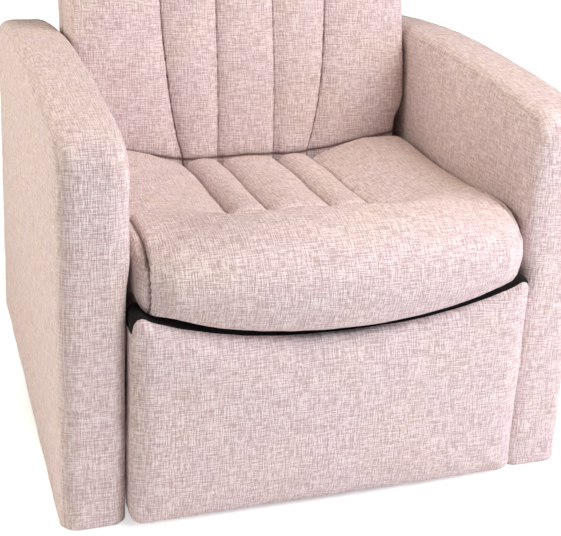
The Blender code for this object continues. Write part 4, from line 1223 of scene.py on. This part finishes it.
def steel_screws() -> list[Screws]:
    """Screws of the footrest brackets and of the seat's side plates."""
    steel = 3 * MM
    gap = 0.3 * MM
    from_edge = 12 * MM
    bracket_shares = (0.18, 0.82)
    plate_shares = (0.25, 0.55, 0.85)
    on_brackets = []
    on_plates = []
    for side in ("left", "right"):
        low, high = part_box(f"footrest_bracket_{side}")
        x = low.x + from_edge if low.x > 0 else high.x - from_edge
        for share in bracket_shares:
            z = low.z + share * (high.z - low.z)
            on_brackets.append((Vector((x, low.y + steel, z)), Vector(Axis.BACKWARDS.value)))
        low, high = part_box(f"seat_rail_side_{side}")
        for share in plate_shares:
            y = low.y + share * (high.y - low.y)
            under = Vector(((low.x + high.x) / 2, y, low.z - gap - steel))
            on_plates.append((under, -Vector(Axis.UPWARDS.value)))
    return [Screws("footrest_screws", "footrest", on_brackets), Screws("seat_screws", "seat", on_plates)]


@dataclass(frozen=True)
class Lamp:
    """Soft square lamp that faces the chair."""

    name: str
    place: Place
    size: float
    power: float
    tint: str
    target: Place = (0.0, 0.0, 0.4)

    def build(self) -> None:
        """Hang the lamp."""
        data = bpy.data.lights.new(self.name, "AREA")
        data.size = self.size
        data.energy = self.power
        data.color = srgb(self.tint)[:3]
        lamp = bpy.data.objects.new(self.name, data)
        lamp.location = self.place
        aim = Vector(self.target) - Vector(self.place)
        lamp.rotation_euler = aim.to_track_quat("-Z", "Y").to_euler()
        bpy.context.scene.collection.objects.link(lamp)


@dataclass
class Studio:
    """Camera, lamps, world and floor."""

    place: Vector = field(default_factory=lambda: Vector((-0.601, -1.911, 1.096)))
    yaw: float = math.radians(20.09)
    pitch: float = math.radians(19.16)
    roll: float = math.radians(3.29)
    lens: float = 79.58
    shift: Span = (-0.071, -0.166)
    ambient: float = 0.06
    ambient_tint: str = "#fffcfa"
    white: str = "#ffffff"
    floor_size: float = 60.0
    floor_tint: str = "#f4f4f4"
    white_span: Span = (0.5, 1.8)
    white_share: Span = (0.60, 1.0)
    chair_edge: Span = (0.28, 0.46)
    lamps: tuple[Lamp, ...] = (
        Lamp("key", (1.3, -1.8, 2.2), size=1.6, power=68.0, tint="#fffcfc"),
        Lamp("low_right", (1.8, -1.5, 0.5), size=1.6, power=21.0, tint="#eae8ff"),
        Lamp("overhead", (0.3, -0.4, 2.8), size=1.8, power=17.0, tint="#ffe3bf"),
        Lamp("warm_rear", (-2.6, 0.3, 1.5), size=1.8, power=56.0, tint="#fff7e8"),
    )

    def camera(self) -> None:
        """Set up the camera at the photograph's viewing angle."""
        level_share = math.cos(self.pitch)
        ahead = (math.sin(self.yaw) * level_share, math.cos(self.yaw) * level_share)
        forward = Vector((*ahead, -math.sin(self.pitch)))
        level = Vector((math.cos(self.yaw), -math.sin(self.yaw), 0.0))
        above = level.cross(forward)
        right = level * math.cos(self.roll) + above * math.sin(self.roll)
        up = above * math.cos(self.roll) - level * math.sin(self.roll)
        data = bpy.data.cameras.new("camera")
        data.lens = self.lens
        data.shift_x, data.shift_y = self.shift
        camera = bpy.data.objects.new("camera", data)
        turned = Matrix((right, up, -forward)).transposed().to_4x4()
        camera.matrix_world = Matrix.Translation(self.place) @ turned
        bpy.context.scene.collection.objects.link(camera)
        bpy.context.scene.camera = camera

    def background_share(self, tree: NodeTree) -> NodeSocket:
        """1 for rays that should meet the white background, else 0.

        Args:
            tree: The node tree.

        Returns:
            The socket with that share.
        """
        rays = add_node(tree, "LightPath").outputs
        seen = rays["Is Camera Ray"]
        for other in ("Is Glossy Ray", "Is Transmission Ray"):
            seen = add_node(tree, "Math", {"operation": "MAXIMUM"}, {0: seen, 1: rays[other]}).outputs[0]
        return seen

    def world(self) -> None:
        """Even studio light, with a white background for the camera and for reflections."""
        world = bpy.data.worlds.new("studio")
        world.use_nodes = True
        tree = world.node_tree
        ambient = tree.nodes["Background"]
        ambient.inputs["Color"].default_value = srgb(self.ambient_tint)
        ambient.inputs["Strength"].default_value = self.ambient
        white = add_node(tree, "Background", inputs={"Color": srgb(self.white), "Strength": 1.0})
        inputs = {0: self.background_share(tree), 1: ambient.outputs[0], 2: white.outputs[0]}
        mixed = add_node(tree, "MixShader", inputs=inputs)
        tree.links.new(mixed.outputs[0], tree.nodes["World Output"].inputs["Surface"])
        bpy.context.scene.world = world

    def floor(self) -> None:
        """Plain white floor that keeps the chair's soft shadow and the dark under it."""
        bpy.ops.object.select_all(action="DESELECT")
        bpy.ops.mesh.primitive_plane_add(size=self.floor_size)
        floor = bpy.context.active_object
        floor.name = "floor"
        surface = {
            "Base Color": srgb(self.floor_tint),
            "Roughness": 1.0,
            "Specular IOR Level": 0.0,
            "Emission Color": srgb(self.white),
        }
        work = Shading("white_floor", surface)
        away = work.node("VectorMath", {0: work.place}, "Value", operation="LENGTH")
        whiteness = work.span(away, self.white_span, self.white_share, smooth=True)
        beyond_chair = work.span(away, self.chair_edge)
        lift = self.background_share(work.tree)
        for share in (whiteness, beyond_chair):
            lift = work.node("Math", {0: lift, 1: share}, operation="MULTIPLY")
        work.link("Emission Strength", lift)
        floor.data.materials.append(work.material)

    def build(self) -> None:
        """Set up the whole studio."""
        self.camera()
        self.world()
        self.floor()
        for lamp in self.lamps:
            lamp.build()
        bpy.context.scene.view_settings.view_transform = "Standard"


def padded_pieces() -> list[Padding]:
    """Every padded piece of the chair, in making order."""
    made: list[Padding] = []
    for side in ("left", "right"):
        names = (f"arm_cover_{side}", f"arm_upholstery_{side}")
        made.append(SlabArm(*names, "base", fill=0.95, widen=1.5 * MM))
    made.append(RearApron("rear_apron", "apron_cover", "base", fill=0.9, smoothing=4, unevenness=0.6 * MM))
    made.append(SeatCushion("seat_cushion", "seat_pad", "seat", fill=0.75, swell=8 * MM))
    names = ("back_cushion", "back_pad")
    made.append(BackCushion(*names, "back", fill=0.75, voxel=6 * MM, widen=2 * MM, swell=8 * MM))
    made.append(OutsideBack("outside_back", "outside_back_cover", "back", fill=0.9))
    names = ("footrest_pad", "footrest_cover")
    made.append(FootrestPad(*names, "footrest", fill=0.85, widen=4 * MM, swell=2.5 * MM))
    return made


def main() -> None:
    """Build the studio and the chair."""
    logging.basicConfig(level=logging.INFO, format="%(name)s %(message)s")
    Studio().build()
    wardrobe = Wardrobe()
    wardrobe.dress_solids()
    for padding in padded_pieces():
        padding.build(wardrobe)
    for screws in steel_screws():
        screws.build(wardrobe)


if __name__ == "__main__":
    main()
